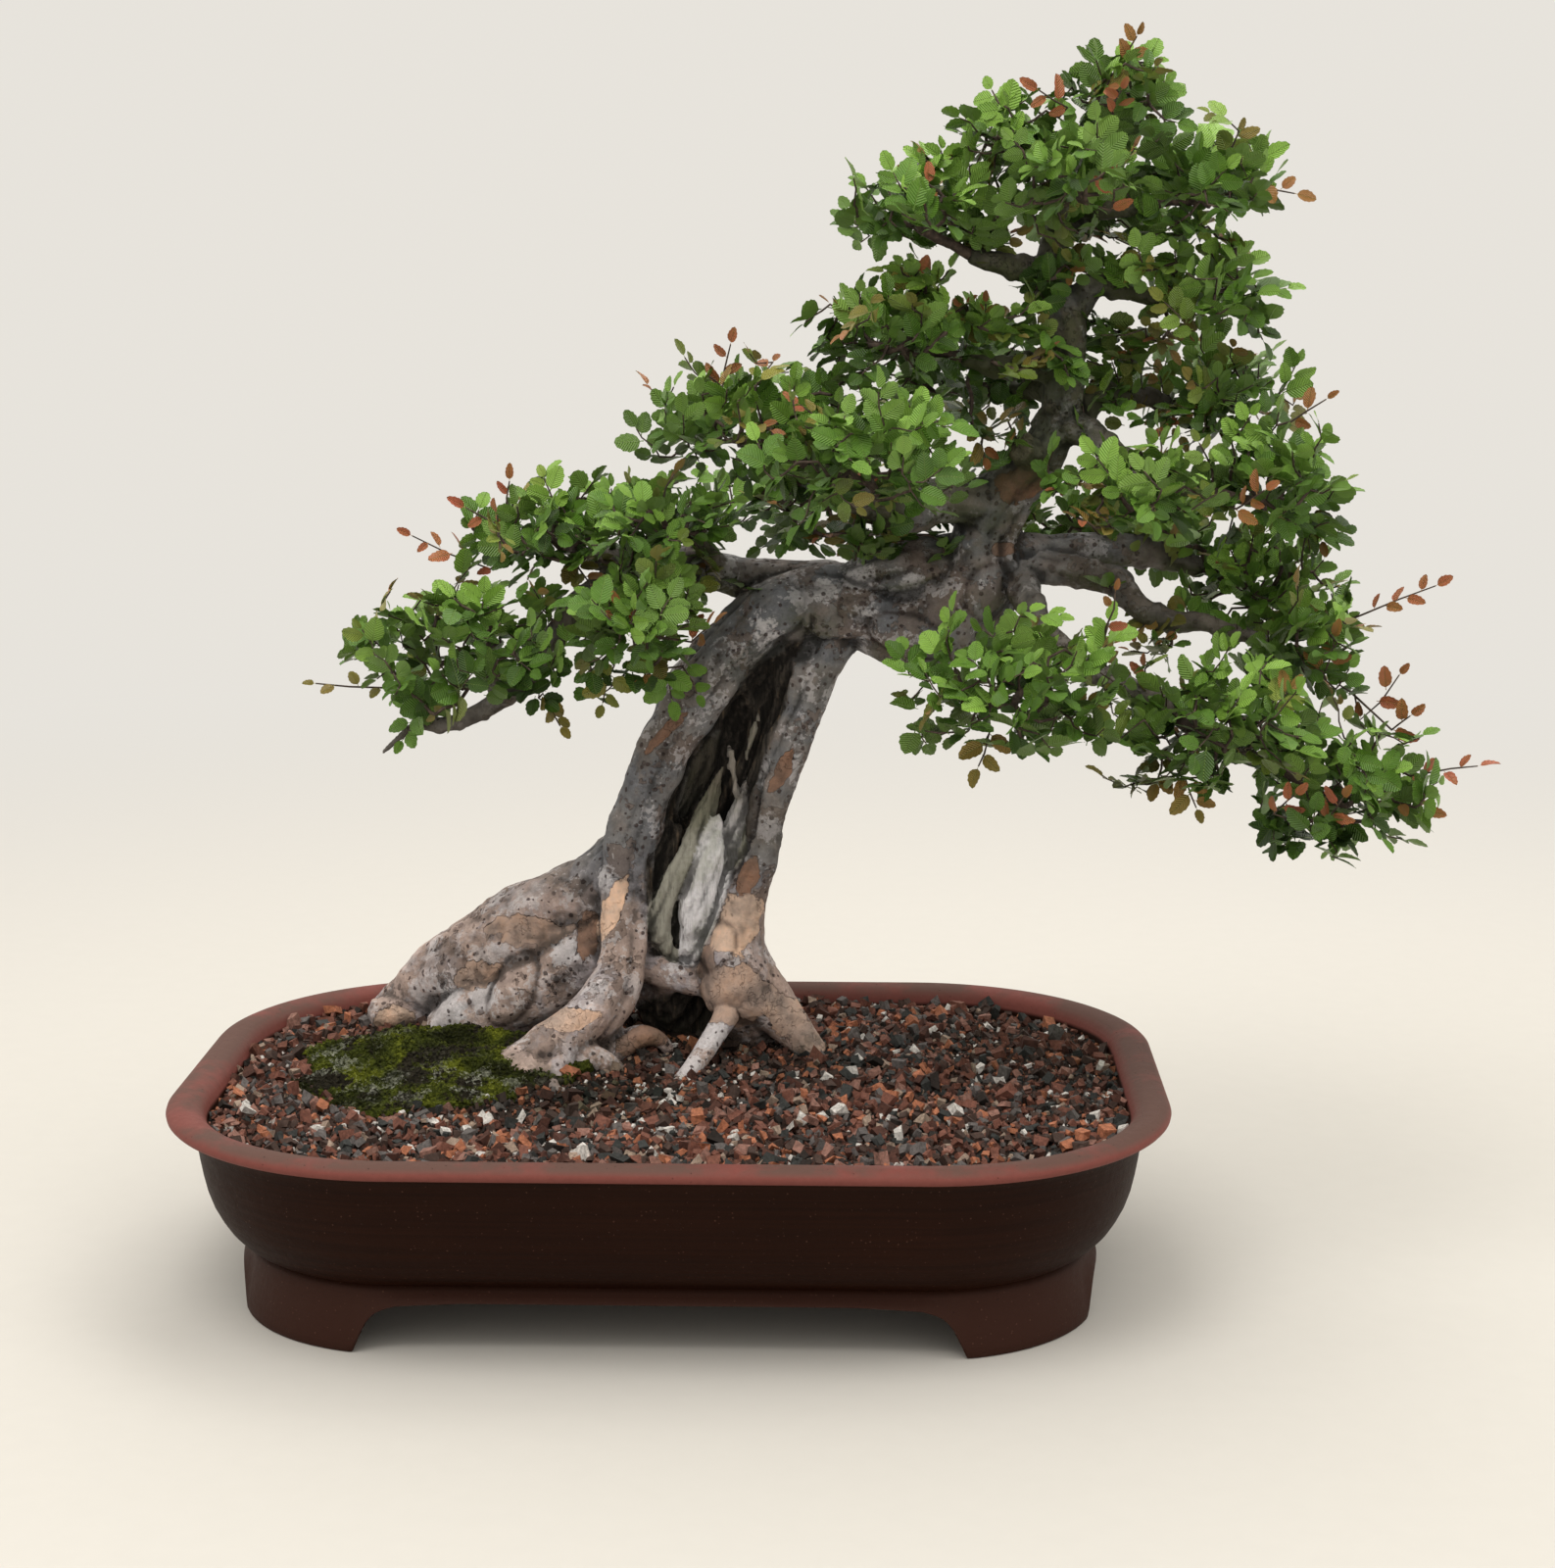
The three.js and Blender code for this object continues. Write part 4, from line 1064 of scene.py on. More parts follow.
# Lumps and dents that the limbs alone don't give: [x, y, z, radius, height]
KNOBS = [
    [-72, 62, 150, 18, -9], [-56, 66, 148, 14, -6], [-88, 80, 190, 26, 4], [-128, 84, 150, 16, 4],
    [-12, 60, 232, 14, 2], [28, 42, 170, 15, 4], [34, 40, 147, 20, 3], [-138, 72, 132, 18, 3],
    [175, 52, 384, 14, 4], [160, 50, 356, 18, 6], [118, 60, 388, 12, -2], [188, 50, 424, 10, 3],
    [200, 58, 452, 8, 3], [86, 62, 372, 14, 2.5], [-90, -2, 122, 9, 4], [-64, -4, 120, 9, 3],
    [-100, 6, 116, 8, 4], [-84, 2, 112, 7, 3], [62, 54, 128, 9, 2.5], [-46, 62, 214, 12, 3],
    [134, 52, 350, 14, 4], [104, 56, 352, 14, -3], [-60, 66, 176, 14, 2],
]
# Rolls of bark that have grown over old wounds, each ringed by a groove that is painted dark as shade: [x, y,
# z, half width, half height, lean, rise]
CALLUSES = [
    [-101, 50, 146, 13, 22, 0.3, 1.6], [-80, 4, 112, 16, 8, 0.1, 2.5], [132, 48, 360, 22, 12, -0.6, 1.3],
    [20, 40, 176, 12, 14, 0.2, 1], [180, 44, 386, 14, 16, 0.2, 1.2], [212, 52, 500, 8, 13, 0.1, 1],
]
# Places where the outer bark has come off: [x, y, z, half width, half height, lean, kind],
# where the lean is sideways per height, and the kind runs from 0, tan, to 1, orange brown
PEELED = [
    [34, 42, 190, 15, 19, 0.25, 0.1], [31, 40, 148, 24, 20, -0.2, 0.42],
    [-39, 44, 199, 7, 22, 0.4, 0.06], [-55, 48, 180, 7, 19, 0.1, 0.85], [40, 46, 217, 7, 13, 0.3, 0.9],
    [-8, 48, 303, 5.5, 12, 0.9, 0.9], [199, 46, 448, 19, 11, 0.45, 0.95],
    [68, 42, 128, 15, 22, -0.8, 0.35], [60, 56, 280, 5, 13, 0.45, 0.9],
    [-96, 58, 180, 26, 10, 0.5, 0.45], [-124, 74, 152, 14, 9, 0.5, 0.42],
    [15, 42, 166, 9, 10, 0.2, 0.62], [-88, -4, 108, 10, 6, 0.1, 0.2],
    [-178, 100, 117, 14, 8, 0.1, 0.15], [-60, 12, 141, 18, 6, 1.2, 0.3], [195, 40, 468, 10, 9, 0, 0.5],
    [188, 50, 410, 9, 5, 0, 0.8], [-22, 26, 122, 14, 9, 0, 0.8],
]
# Pale places that look rubbed with chalk: [x, y, z, radius]
CHALKY = [
    [-71, 50, 174, 14], [-145, 70, 130, 20], [-100, 46, 158, 9], [-118, 62, 140, 12], [-8, 0, 110, 12],
    [-40, 60, 214, 9], [18, 22, 128, 14], [6, 2, 112, 13], [-5, -18, 106, 11], [104, 66, 392, 11],
    [84, 60, 386, 9], [136, 60, 388, 9], [-4, 58, 158, 9], [52, 56, 246, 9], [-58, 28, 132, 9],
    [106, 44, 370, 14], [50, 60, 362, 12],
]

BODY_LIMBS = [LEANING_TRUNK, ARCH]
OTHER_LIMBS = [SHOULDER, LEFT_RIDGE, *LEGS, *ROOTS, STUB, LEADER, LEFT_LOW_STEM]
BRANCH_LIMBS = [path for path, _, _ in BRANCHES.values()]
MIDDLE_DEPTH = 86  # where the leaning trunk is flattened from front to back
LIP_SOFTENING = 14  # rounds of smoothing on the hollow's lips
FIBRE_WIDTH = 5.5  # of the rotten fibres in the hollow
FIBRE_LENGTH = 50
FIBRE_LEAN = 0.075
FLUTE_LENGTH = 75  # along a limb
SPOT_DEPTH = 24  # half the depth of an oval spot on the bark
ROWS_AT_ONCE = 20000  # vertices that are measured against the limbs at a time
LEAST_TRIANGLES = 10000  # fewer mean that the limbs didn't join


def thinned(mesh, y, share):
    """The mesh with its depth scaled about a plane across Y."""
    there = placed(0, y, 0)
    mesh.transform(Matrix.Translation(there) @ Matrix.Diagonal((1, share, 1, 1)) @ Matrix.Translation(-there))
    return mesh


def hollow_shares(places):
    """How far places are from the hollow's middle line, as a share of its radius there."""
    line = np.array([[*place, size] for place, size in through(HOLLOW, HOLLOW_STEPS)])
    squeeze = [1, 1 / HOLLOW_DEPTH, 1]
    line[:, :3] *= squeeze
    return nearest_rows(places * squeeze, line)[1]


def wood_union(voxel):
    """The limbs as one closed skin, with the hollow cut out of the trunk and dead wood standing in it."""
    cutter_mesh = tubes("hollow", [through(HOLLOW, HOLLOW_STEPS)], 20)
    cutter = bpy.data.objects.new("hollow", thinned(cutter_mesh, HOLLOW[0][1], HOLLOW_DEPTH))
    bpy.context.scene.collection.objects.link(cutter)
    parts = []
    for stations in BODY_LIMBS:
        body = tubes("body", [through(stations)], 28)
        if stations is LEANING_TRUNK:
            thinned(body, MIDDLE_DEPTH, TRUNK_DEPTH)
        parts.append(modified(body, ("BOOLEAN", {"operation": "DIFFERENCE", "object": cutter})))
    bpy.data.objects.remove(cutter)
    rest = [through(stations) for stations in OTHER_LIMBS]
    rest += [branch_line(stations) for stations in BRANCH_LIMBS]
    parts.append(tubes("limbs", rest, 16))
    slabs = tubes("slabs", [through(stations) for stations in DEADWOOD], 12)
    parts.append(thinned(slabs, SLAB_MIDDLE, SLAB_DEPTH))
    whole = joined(parts, "wood")
    skin = {"mode": "VOXEL", "voxel_size": voxel, "use_smooth_shade": True}
    whole = modified(whole, ("REMESH", skin), ("SMOOTH", {"factor": 0.5, "iterations": 4}))
    places = in_tables(places_of(whole))
    shares = hollow_shares(places)
    slab_shares = nearest_rows(places, limb_table(DEADWOOD))[1]
    lip = (shares > 0.85) & (shares < 1.5) & (slab_shares > 1.3)
    bm = bmesh.new()
    bm.from_mesh(whole)
    bm.verts.ensure_lookup_table()
    soft = [bm.verts[i] for i in np.flatnonzero(lip)]
    for _ in range(LIP_SOFTENING):
        bmesh.ops.smooth_vert(bm, verts=soft, factor=0.5, use_axis_x=True, use_axis_y=True, use_axis_z=True)
    bpy.data.meshes.remove(whole)
    return mesh_of(bm, "old_trunk")


def limb_table(limbs):
    """Places, radii, directions and lengths all along the limbs, one row each, in millimetres."""
    rows = []
    for number, stations in enumerate(limbs):
        line = through(stations)
        along = 0.0
        side = Vector((1, 0, 0))
        for i, (place, radius) in enumerate(line):
            ahead = (line[min(i + 1, len(line) - 1)][0] - line[max(i - 1, 0)][0]).normalized()
            side = (side - ahead * side.dot(ahead)).normalized()
            if i:
                along += (place - line[i - 1][0]).length
            rows.append([*place, radius, *ahead, *side, along, number])
    return np.array(rows)


def nearest_rows(places, table):
    """For each place, the row of the limb that it lies closest to, and its distance in limb radii."""
    best = np.empty(len(places), int)
    score = np.empty(len(places))
    for start in range(0, len(places), ROWS_AT_ONCE):
        rows = slice(start, start + ROWS_AT_ONCE)
        part = places[rows]
        apart = (part**2).sum(1)[:, None] + (table[:, :3] ** 2).sum(1) - 2 * part @ table[:, :3].T
        share = np.sqrt(np.maximum(apart, 0)) / table[:, 3]
        best[rows] = share.argmin(1)
        score[rows] = share.min(1)
    return best, score


def sunken(mesh, rounds, full):
    """How sunken each vertex is below its surroundings, from -1 to 1, where full is in millimetres."""
    ends = np.empty(len(mesh.edges) * 2, np.int32)
    mesh.edges.foreach_get("vertices", ends)
    first, second = ends.reshape(-1, 2).T
    here = np.concatenate([first, second])
    there = np.concatenate([second, first])
    count = len(mesh.vertices)
    share = 1 / np.maximum(np.bincount(here, minlength=count), 1)
    places = places_of(mesh)
    soft = places
    for _ in range(rounds):
        soft = np.stack([np.bincount(here, soft[there, axis], count) * share for axis in range(3)], 1)
    rise = ((soft - places) * rows_of(mesh.vertex_normals, "vector")).sum(1) / MM / full
    return np.clip(rise, -1, 1)


def spot_share(places, x, y, z, wide, tall, lean):
    """How far places are from the middle of a leaning oval spot, where 1 is its outline."""
    gap = places - [x, y, z]
    gap[:, 0] -= gap[:, 2] * lean
    return np.linalg.norm(gap / [wide, SPOT_DEPTH, tall], axis=1)


def carve_wood(mesh, settings):
    """Flutes, knots and rotten fibres on the wood, and the masks that its bark reads."""
    start = places_of(mesh)
    places = in_tables(start)
    normals = rows_of(mesh.vertex_normals, "vector")
    above_ground = places[:, 2] - ground(places[:, 0], places[:, 1])
    table = limb_table([*BODY_LIMBS, *OTHER_LIMBS, *BRANCH_LIMBS])
    rows, _ = nearest_rows(places, table)
    found = table[rows]
    radius = found[:, 3]
    ahead = found[:, 4:7]
    side = found[:, 7:10]
    offset = places - found[:, :3]
    forward = (offset * ahead).sum(1)
    offset -= ahead * forward[:, None]
    offset /= np.linalg.norm(offset, axis=1)[:, None] + 1e-9
    around = np.stack([(offset * side).sum(1), (offset * np.cross(ahead, side)).sum(1)], 1)
    along = found[:, 10] + forward

    hollow_share = hollow_shares(places)
    dead_table = limb_table(DEADWOOD)
    dead_rows, dead_share = nearest_rows(places, dead_table)
    leg_share = nearest_rows(places, limb_table([LEGS[0], LEFT_RIDGE, *ROOTS[3:5], ROOTS[8]]))[1]
    deadwood = smooth_step(1.5, 1.2, dead_share) * smooth_step(1.25, 1.05, hollow_share)
    # The gap below the hollow is painted near black as shade, like the hollow.
    shaded_gap_share = np.linalg.norm((places - SHADED_GAP[:3]) / SHADED_GAP[3:], axis=1)
    hollow = smooth_step(1.1, 0.98, np.minimum(hollow_share, shaded_gap_share))
    hollow *= smooth_step(1.0, 1.12, leg_share) * (1 - deadwood)
    thin = smooth_step(13, 6, radius) * smooth_step(180, 235, places[:, 2])

    flute_at = np.column_stack([around * 1.5, along / FLUTE_LENGTH + found[:, 11] * 3.7])
    flutes = noise_at(flute_at, 1.0, 2, settings.seed)
    root = smooth_step(235, 180, places[:, 2])
    height = flutes * np.minimum(radius, 42) * settings.flute_share * (1 - thin * 0.5) * (1 - root * 0.68)
    lumps = noise_at(places, 26, 3, settings.seed + 5)
    height += lumps * np.clip(radius * 0.075, 0.2, 2.2)
    height += noise_at(places, 7, 3, settings.seed + 9) * np.clip(radius * 0.03, 0.12, 0.5)
    knots = noise_at(places, 11, 2, settings.seed + 13)
    height += thin * np.maximum(knots, 0) * radius * 0.55
    for x, y, z, size, rise in KNOBS:
        near = ((places - [x, y, z]) ** 2).sum(1) / size**2
        height += rise * np.exp(-near * 1.6) * (1 - hollow)
    crease = np.zeros(len(places))
    for x, y, z, wide, tall, lean, rise in CALLUSES:
        share = spot_share(places, x, y, z, wide, tall, lean) * (1 + 0.12 * lumps)
        height += rise * smooth_step(1.05, 0.65, share)
        groove = np.exp(-(((share - 1.08) / 0.09) ** 2))
        height -= groove * rise * 0.35
        crease = np.maximum(crease, groove)
    grain = places * [1 / FIBRE_WIDTH, 1 / FIBRE_WIDTH, 1 / FIBRE_LENGTH]
    grain[:, 0] -= places[:, 2] * FIBRE_LEAN
    fibres = noise_at(grain, 1.0, 3, settings.seed + 17)
    height = height * (1 - np.maximum(hollow, deadwood)) + fibres * (3.4 * hollow + 2.6 * deadwood)
    cut_line = 1 - smooth_step(-2, 6, above_ground)
    height *= 1 - cut_line * 0.6
    move_to(mesh, start + normals * (height * MM)[:, None])

    peel = np.zeros(len(places))
    tint = np.zeros(len(places))
    for x, y, z, wide, tall, lean, colour in PEELED:
        mask = smooth_step(1.6, 0.3, spot_share(places, x, y, z, wide, tall, lean))
        tint = np.where(mask > peel, colour, tint)
        peel = np.maximum(peel, mask)
    chalk = np.zeros(len(places))
    for x, y, z, size in CHALKY:
        chalk = np.maximum(chalk, smooth_step(1.6, 0.2, np.linalg.norm(places - [x, y, z], axis=1) / size))
    paint(
        mesh,
        sunk=sunken(mesh, 5, 0.22) * 0.45 + sunken(mesh, 45, 1.8) * 0.55,
        crease=crease,
        hollow=hollow,
        deadwood=deadwood,
        aged=np.array(DEADWOOD_TONES)[dead_table[dead_rows, 11].astype(int)],
        thin=thin,
        peel=peel * (1 - np.maximum(hollow, deadwood)),
        peel_tint=tint,
        chalk=chalk,
        root=root,
        damp=smooth_step(22, 0, above_ground),
    )


def bark_material(colours):
    """Old elm bark: grey with tan and brown flakes and dark pores, a hollow of dark rot and painted shade,
    and silver dead wood, with painted shade in creases, recesses, undersides and the canopy and painted
    highlight on ridges.
    """
    bark = Finish("Elm bark", 0.7, 0.25)
    where = bark.where
    high = where.part(2)
    middle = where.cloud(95, 4, 0.6)
    fine = where.cloud(620, 4, 0.65)
    root = bark.read("root")
    colour = root.mix(colours.bark_colour, colours.root_colour)
    colour = colour.tint(middle.ramp((0.3, 0.72), (0.5, 0.98), (0.7, 1.3)))
    tones = [(0.36, (0.84, 0.88, 0.96)), (0.5, (1.0, 1.0, 1.0)), (0.64, (1.1, 0.96, 0.88))]
    colour = colour.tint(where.cloud(34, 4, 0.6).ramp(*tones))
    flake = root.mix((0.14, 0.122, 0.11), colours.flake_colour).tint(middle.ramp((0.3, 0.7), (0.7, 1.3)))
    pink = where.patches(26, 0.60 - root * 0.09, 0.03, 1.0)
    colour = colour.toward(flake, pink * 0.75)
    brown = where.patches(40, 0.585, 0.012, 1.2)
    colour = colour.toward(scaled(colours.flake_colour, 0.42), brown * 0.62)
    chalk = bark.read("chalk")
    dusty = (chalk + (where.cloud(260, 4, 0.7) - 0.5) * 2.2).span(0.42, 0.66)
    pale = (where.patches(48, 0.60, 0.012, 1.6) * 0.45).most(dusty * 0.8)
    colour = colour.toward((0.46, 0.44, 0.45), pale).tint(fine.ramp((0.32, 0.84), (0.68, 1.12)))

    nicks = (where.cloud(75, 3, 0.5) - 0.5) * 1.5 + (where.cloud(330, 3, 0.6) - 0.5) * 0.4
    ragged = bark.read("peel") + nicks
    peeled = ragged.span(0.46, 0.52)
    rim = ragged.span(0.42, 0.48) * (1.0 - peeled)
    colour = colour.toward((0.06, 0.04, 0.032), rim * 0.5)
    kinds = [(0.05, colours.tan_colour), (0.5, colours.flake_colour), (0.95, colours.orange_colour)]
    worn = [(0.34, (0.62, 0.66, 0.7)), (0.5, (0.98, 0.98, 0.98)), (0.66, (1.2, 1.1, 1.0))]
    under = bark.read("peel_tint").ramp(*kinds).tint(where.cloud(50, 4, 0.65).ramp(*worn))
    colour = colour.toward(under, peeled)

    spread = where.cloud(26, 2).ramp((0.42, 0.0), (0.56, 1.0))
    large = where.speckles(130, 0.26, 0.55, 0.7) * (spread * 0.7)
    pores = large.most(where.speckles(225, 0.25, 0.62, 0.5) * 0.95) * (1.0 - peeled * 0.85)
    colour = colour.toward((0.042, 0.028, 0.026), pores * 0.9)
    # Painted shade in the grooves round the calluses.
    colour = colour.toward((0.055, 0.036, 0.03), bark.read("crease") * 0.6)
    twig = middle.ramp((0.3, (0.03, 0.024, 0.017)), (0.7, (0.115, 0.1, 0.08)))
    colour = colour.toward(twig, bark.read("thin") * 0.8)
    # Painted shade: the wood high up, inside the canopy, is darker and a little greener.
    colour = colour.tint(high.ramp((0.41, 1.0), (0.5, (0.52, 0.54, 0.5))))
    # Dark green on undersides and up in the canopy: partly algae, partly painted shade.
    shaded = bark.facing().span(0.35, -0.6).most(high.span(0.40, 0.47) * 0.75)
    algae_and_shade = where.patches(30, 0.46, 0.1, 1.2) * shaded * high.span(0.31, 0.38) * 0.8
    colour = colour.toward((0.045, 0.052, 0.02), algae_and_shade)

    fibre = where.stretched(1, 1, 0.09).cloud(330, 5, 0.65)
    # The hollow: dark rotten fibres, made near black as painted shade of its depth.
    rot_and_shade_tones = [(0.36, (0.014, 0.012, 0.01)), (0.56, (0.062, 0.052, 0.042)), (0.68, (0.15, 0.11, 0.075))]
    black = fibre.ramp(*rot_and_shade_tones, (0.8, (0.3, 0.2, 0.11)))
    pale_wood = colours.deadwood_colour
    white = [min(1, c) for c in scaled(pale_wood, 1.3)]
    silver = fibre.ramp((0.28, scaled(pale_wood, 0.6)), (0.42, pale_wood), (0.75, white))
    old = fibre.ramp((0.3, (0.07, 0.055, 0.042)), (0.7, (0.30, 0.24, 0.19)))
    silver = silver.toward(old, high.span(0.236, 0.27) * 0.75)
    silver = silver.toward((0.2, 0.22, 0.13), where.patches(35, 0.52, 0.08, 1.0) * 0.4)
    # Painted shade on the strands at the back of the hollow, and a mossy stain on the rib: darker and
    # greener.
    stain_and_shade_tones = [(0.0, 1.0), (0.5, (0.42, 0.415, 0.34)), (1.0, (0.2, 0.195, 0.16))]
    silver = silver.tint(bark.read("aged").ramp(*stain_and_shade_tones))
    hollow = bark.read("hollow")
    deadwood = bark.read("deadwood")
    colour = colour.toward(black, hollow).toward(silver, deadwood)
    damp = bark.read("damp") * where.patches(60, 0.5, 0.08, 1.2) * (1.0 - chalk)
    colour = colour.toward((0.03, 0.03, 0.018), damp * 0.6)
    # Painted shade in the bark's hollows and painted highlight on its ridges, by how sunken each vertex is.
    relief = bark.read("sunk").span(-1.0, 1.0)
    colour = colour.tint(relief.ramp((0.0, 1.4), (0.5, 1.0), (0.7, 0.6), (1.0, 0.26)))

    bare = hollow.most(deadwood)
    covered = 1.0 - bare
    plates = (peeled + (pink * 0.5 + brown)) * covered
    bumps = [(middle, 0.0016), (fine, 0.0004), (plates, -0.0009), (pores * covered, 0.0008)]
    bumps.append((fibre * bare, 0.004))
    return bark.done(colour, *bumps, roughness=0.8 - peeled * 0.2)


# The leafy sprays

LEAF_SPANS = 10
# Half width of a leaf along its length, as shares: [along, half width]
LEAF_OUTLINE = [[0, 0.05], [0.06, 0.5], [0.16, 0.82], [0.3, 0.98], [0.45, 1], [0.6, 0.95], [0.75, 0.8],
                [0.87, 0.55], [0.95, 0.3], [1, 0]]
LEAF_VARIANTS = 16
STALK = 0.14  # length of a leaf's stalk, as a share of its blade
VEINS = 10  # side veins on each half of a leaf
TOOTH = 0.055  # how far the leaf's teeth stand out, as a share of its half width
RUN_STEP = 9  # from place to place on the twig that leads into a spray
TWIG_STEP = 7.5  # and on the twigs that fork from it
TWIG_SAG = 0.10  # how far a twig hangs through, as a share of its length
LEAST_TWIG = 0.42  # radius of the finest twigs
TWIG_TAPER = 0.42  # power of the load that a twig's radius follows
SHOOT_RADII = (0.7, 0.65, 0.55, 0.42)
ROOM_OF_SPRAY = 90000  # product of the half sizes of a spray of middle size
LEAF_GAPS = {"standing": 4.6, "others": 3.7}  # from leaf to leaf along a twig


def leaf_bank(settings, rng):
    """A bmesh of leaves of length 1 along +X, each a toothed blade that is folded, arched and waved."""
    along, half = zip(*LEAF_OUTLINE)
    bm = bmesh.new()
    uv = bm.loops.layers.uv.new("Leaf")
    for _ in range(LEAF_VARIANTS):
        grid = bmesh.ops.create_grid(bm, x_segments=LEAF_SPANS, y_segments=2, size=0.5)["verts"]
        fold = rng.uniform(0.05, 0.4)
        arch = rng.uniform(0.05, 0.35)
        twist = rng.uniform(-0.35, 0.35)
        wave = rng.uniform(0.005, 0.03)
        phase = rng.uniform(0, 6)
        ratio = rng.uniform(0.9, 1.1) * settings.leaf_width / settings.leaf_length / 2
        lean = rng.uniform(-0.08, 0.08)
        spots = {}
        for vertex in grid:
            column = round((vertex.co.x + 0.5) * LEAF_SPANS)
            across = round(vertex.co.y * 2)
            share = (column - 1) / (LEAF_SPANS - 1)
            if column == 0:
                x, width = -STALK, 0.02
            else:
                x, width = share, max(np.interp(share, along, half) * ratio, 0.02 if column < 3 else 0)
                if 1 < column < LEAF_SPANS and across:
                    tooth = 1 if column % 2 else -1
                    width *= 1 + TOOTH * tooth
                    x += 0.02 * tooth
            if column == LEAF_SPANS:
                width = 0
            y = across * width + lean * max(x, 0) * (1 - max(x, 0))
            edge = abs(across) * width
            z = fold * edge - arch * max(x, 0) ** 2 * 0.5 + wave * across * math.sin(9 * x + phase)
            turn = twist * x
            vertex.co = (x, y * math.cos(turn) - z * math.sin(turn), y * math.sin(turn) + z * math.cos(turn))
            spots[vertex] = (max(x, 0), 0.5 + across * width / (2 * ratio))
        for face in {face for vertex in grid for face in vertex.link_faces}:
            face.smooth = True
            for loop in face.loops:
                loop[uv].uv = spots[loop.vert]
    return bm


def stray(rng, spread):
    """A random offset."""
    return Vector(rng.normal(0, spread, 3))


def frame_of(direction, up):
    """Axes of a leaf: along its direction, across it, and out of its face, which leans towards up."""
    x = direction.normalized()
    z = (up - x * up.dot(x)).normalized()
    return np.array([x, z.cross(x), z]).T


def grow_twigs(path, middle, half, tips, rng):
    """Twigs from the end of a branch to the tips: each starts at the closest twig that is already there.

    Returns the places, each place's parent, and the last place of each twig."""
    limb = [place for place, _ in reversed(branch_line(path))]
    end = limb[0]
    ahead = (end - limb[1]).normalized()
    centre = Vector(middle)
    fork = centre - Vector((0, 0, 0.3 * half[2]))
    places, parents = list(limb), list(range(-1, len(limb) - 1))
    run = max(2, round((fork - end).length / RUN_STEP))
    for i in range(1, run + 1):
        share = i / run
        place = end.lerp(fork, share) + ahead * (14 * share * (1 - share))
        places.append(place + stray(rng, 0.9))
        parents.append(len(places) - 2 if i > 1 else 0)
    ends = []
    for tip in sorted(tips, key=lambda t: (t - fork).length):
        gaps = [(tip - place).length + 0.25 * (place - fork).length for place in places]
        origin = min(range(len(places)), key=gaps.__getitem__)
        gap = (tip - places[origin]).length
        steps = max(2, round(gap / TWIG_STEP))
        start = places[origin]
        last = origin
        bow = Vector((0, 0, -TWIG_SAG * gap))
        for i in range(1, steps + 1):
            share = i / steps
            place = start.lerp(tip, share) + bow * (4 * share * (1 - share))
            if i < steps:
                place += stray(rng, 1.6)
            places.append(place)
            parents.append(last)
            last = len(places) - 1
        ends.append(last)
    return places, parents, ends


def twig_lines(places, parents, thickest):
    """Tapered lines for tubes, with each twig as thick as the twigs that it carries need."""
    load = [1.0] * len(places)
    for i in range(len(places) - 1, 0, -1):
        load[parents[i]] += load[i]
    most = load[0]
    radii = [max(LEAST_TWIG, thickest * (carried / most) ** TWIG_TAPER) for carried in load]
    children = {}
    for i, parent in enumerate(parents[1:], 1):
        children.setdefault(parent, []).append(i)
    lines = []
    starts = [(None, 0)]
    while starts:
        parent, i = starts.pop()
        line = [] if parent is None else [(places[parent], min(radii[parent], radii[i] * 1.15))]
        while True:
            line.append((places[i], radii[i]))
            onward = children.get(i, [])
            if not onward:
                break
            heavy = max(onward, key=lambda child: load[child])
            starts += [(i, child) for child in onward if child != heavy]
            i = heavy
        if len(line) > 1:
            lines.append(line)
    return lines


def spray_tips(name, count, rng):
    """Tips in a flattened, lumpy cloud, with some that stand out, in clumps and along the branch."""
    path, middle, half = BRANCHES[name]
    tips = []
    turn = rng.uniform(0, 6)
    room = [max(size - 9, size * 0.6) for size in half[:2]] + [half[2] - 2]
    for i in range(count):
        rise = 1 - 1.8 * (i + 0.5) / count
        level = math.sqrt(max(0, 1 - rise * rise))
        angle = turn + i * GOLDEN_ANGLE
        outward = Vector((level * math.cos(angle), level * math.sin(angle), rise))
        lump = 1 + 0.5 * noise.noise(outward * 2.1 + Vector((turn, middle[0], middle[2])))
        depth = min(1.08, rng.uniform(0.78, 1.05) * lump) if i % 3 else rng.uniform(0.35, 0.8)
        depth = rng.uniform(1.12, 1.34) if i % 7 == 1 else depth
        reach = Vector([o * r * depth for o, r in zip(outward, room)])
        tips.append(Vector(middle) + reach + stray(rng, 2.2))
    for spot, size, number in CLUMPS.get(name, []):
        for _ in range(number):
            away = stray(rng, 1).normalized() * rng.uniform(0.45, 1.0)
            tips.append(Vector(spot) + Vector([a * s for a, s in zip(away, size)]))
    limb = branch_line(path)
    for place, radius in limb[len(limb) // 3 :: 2]:
        away = stray(rng, 1).normalized() * (radius + rng.uniform(6, 17))
        tips.append(place + away + Vector((0, 0, 3)))
    return [Vector([min(max(p, low), high) for p, low, high in zip(tip, *TIP_BOX)]) for tip in tips]


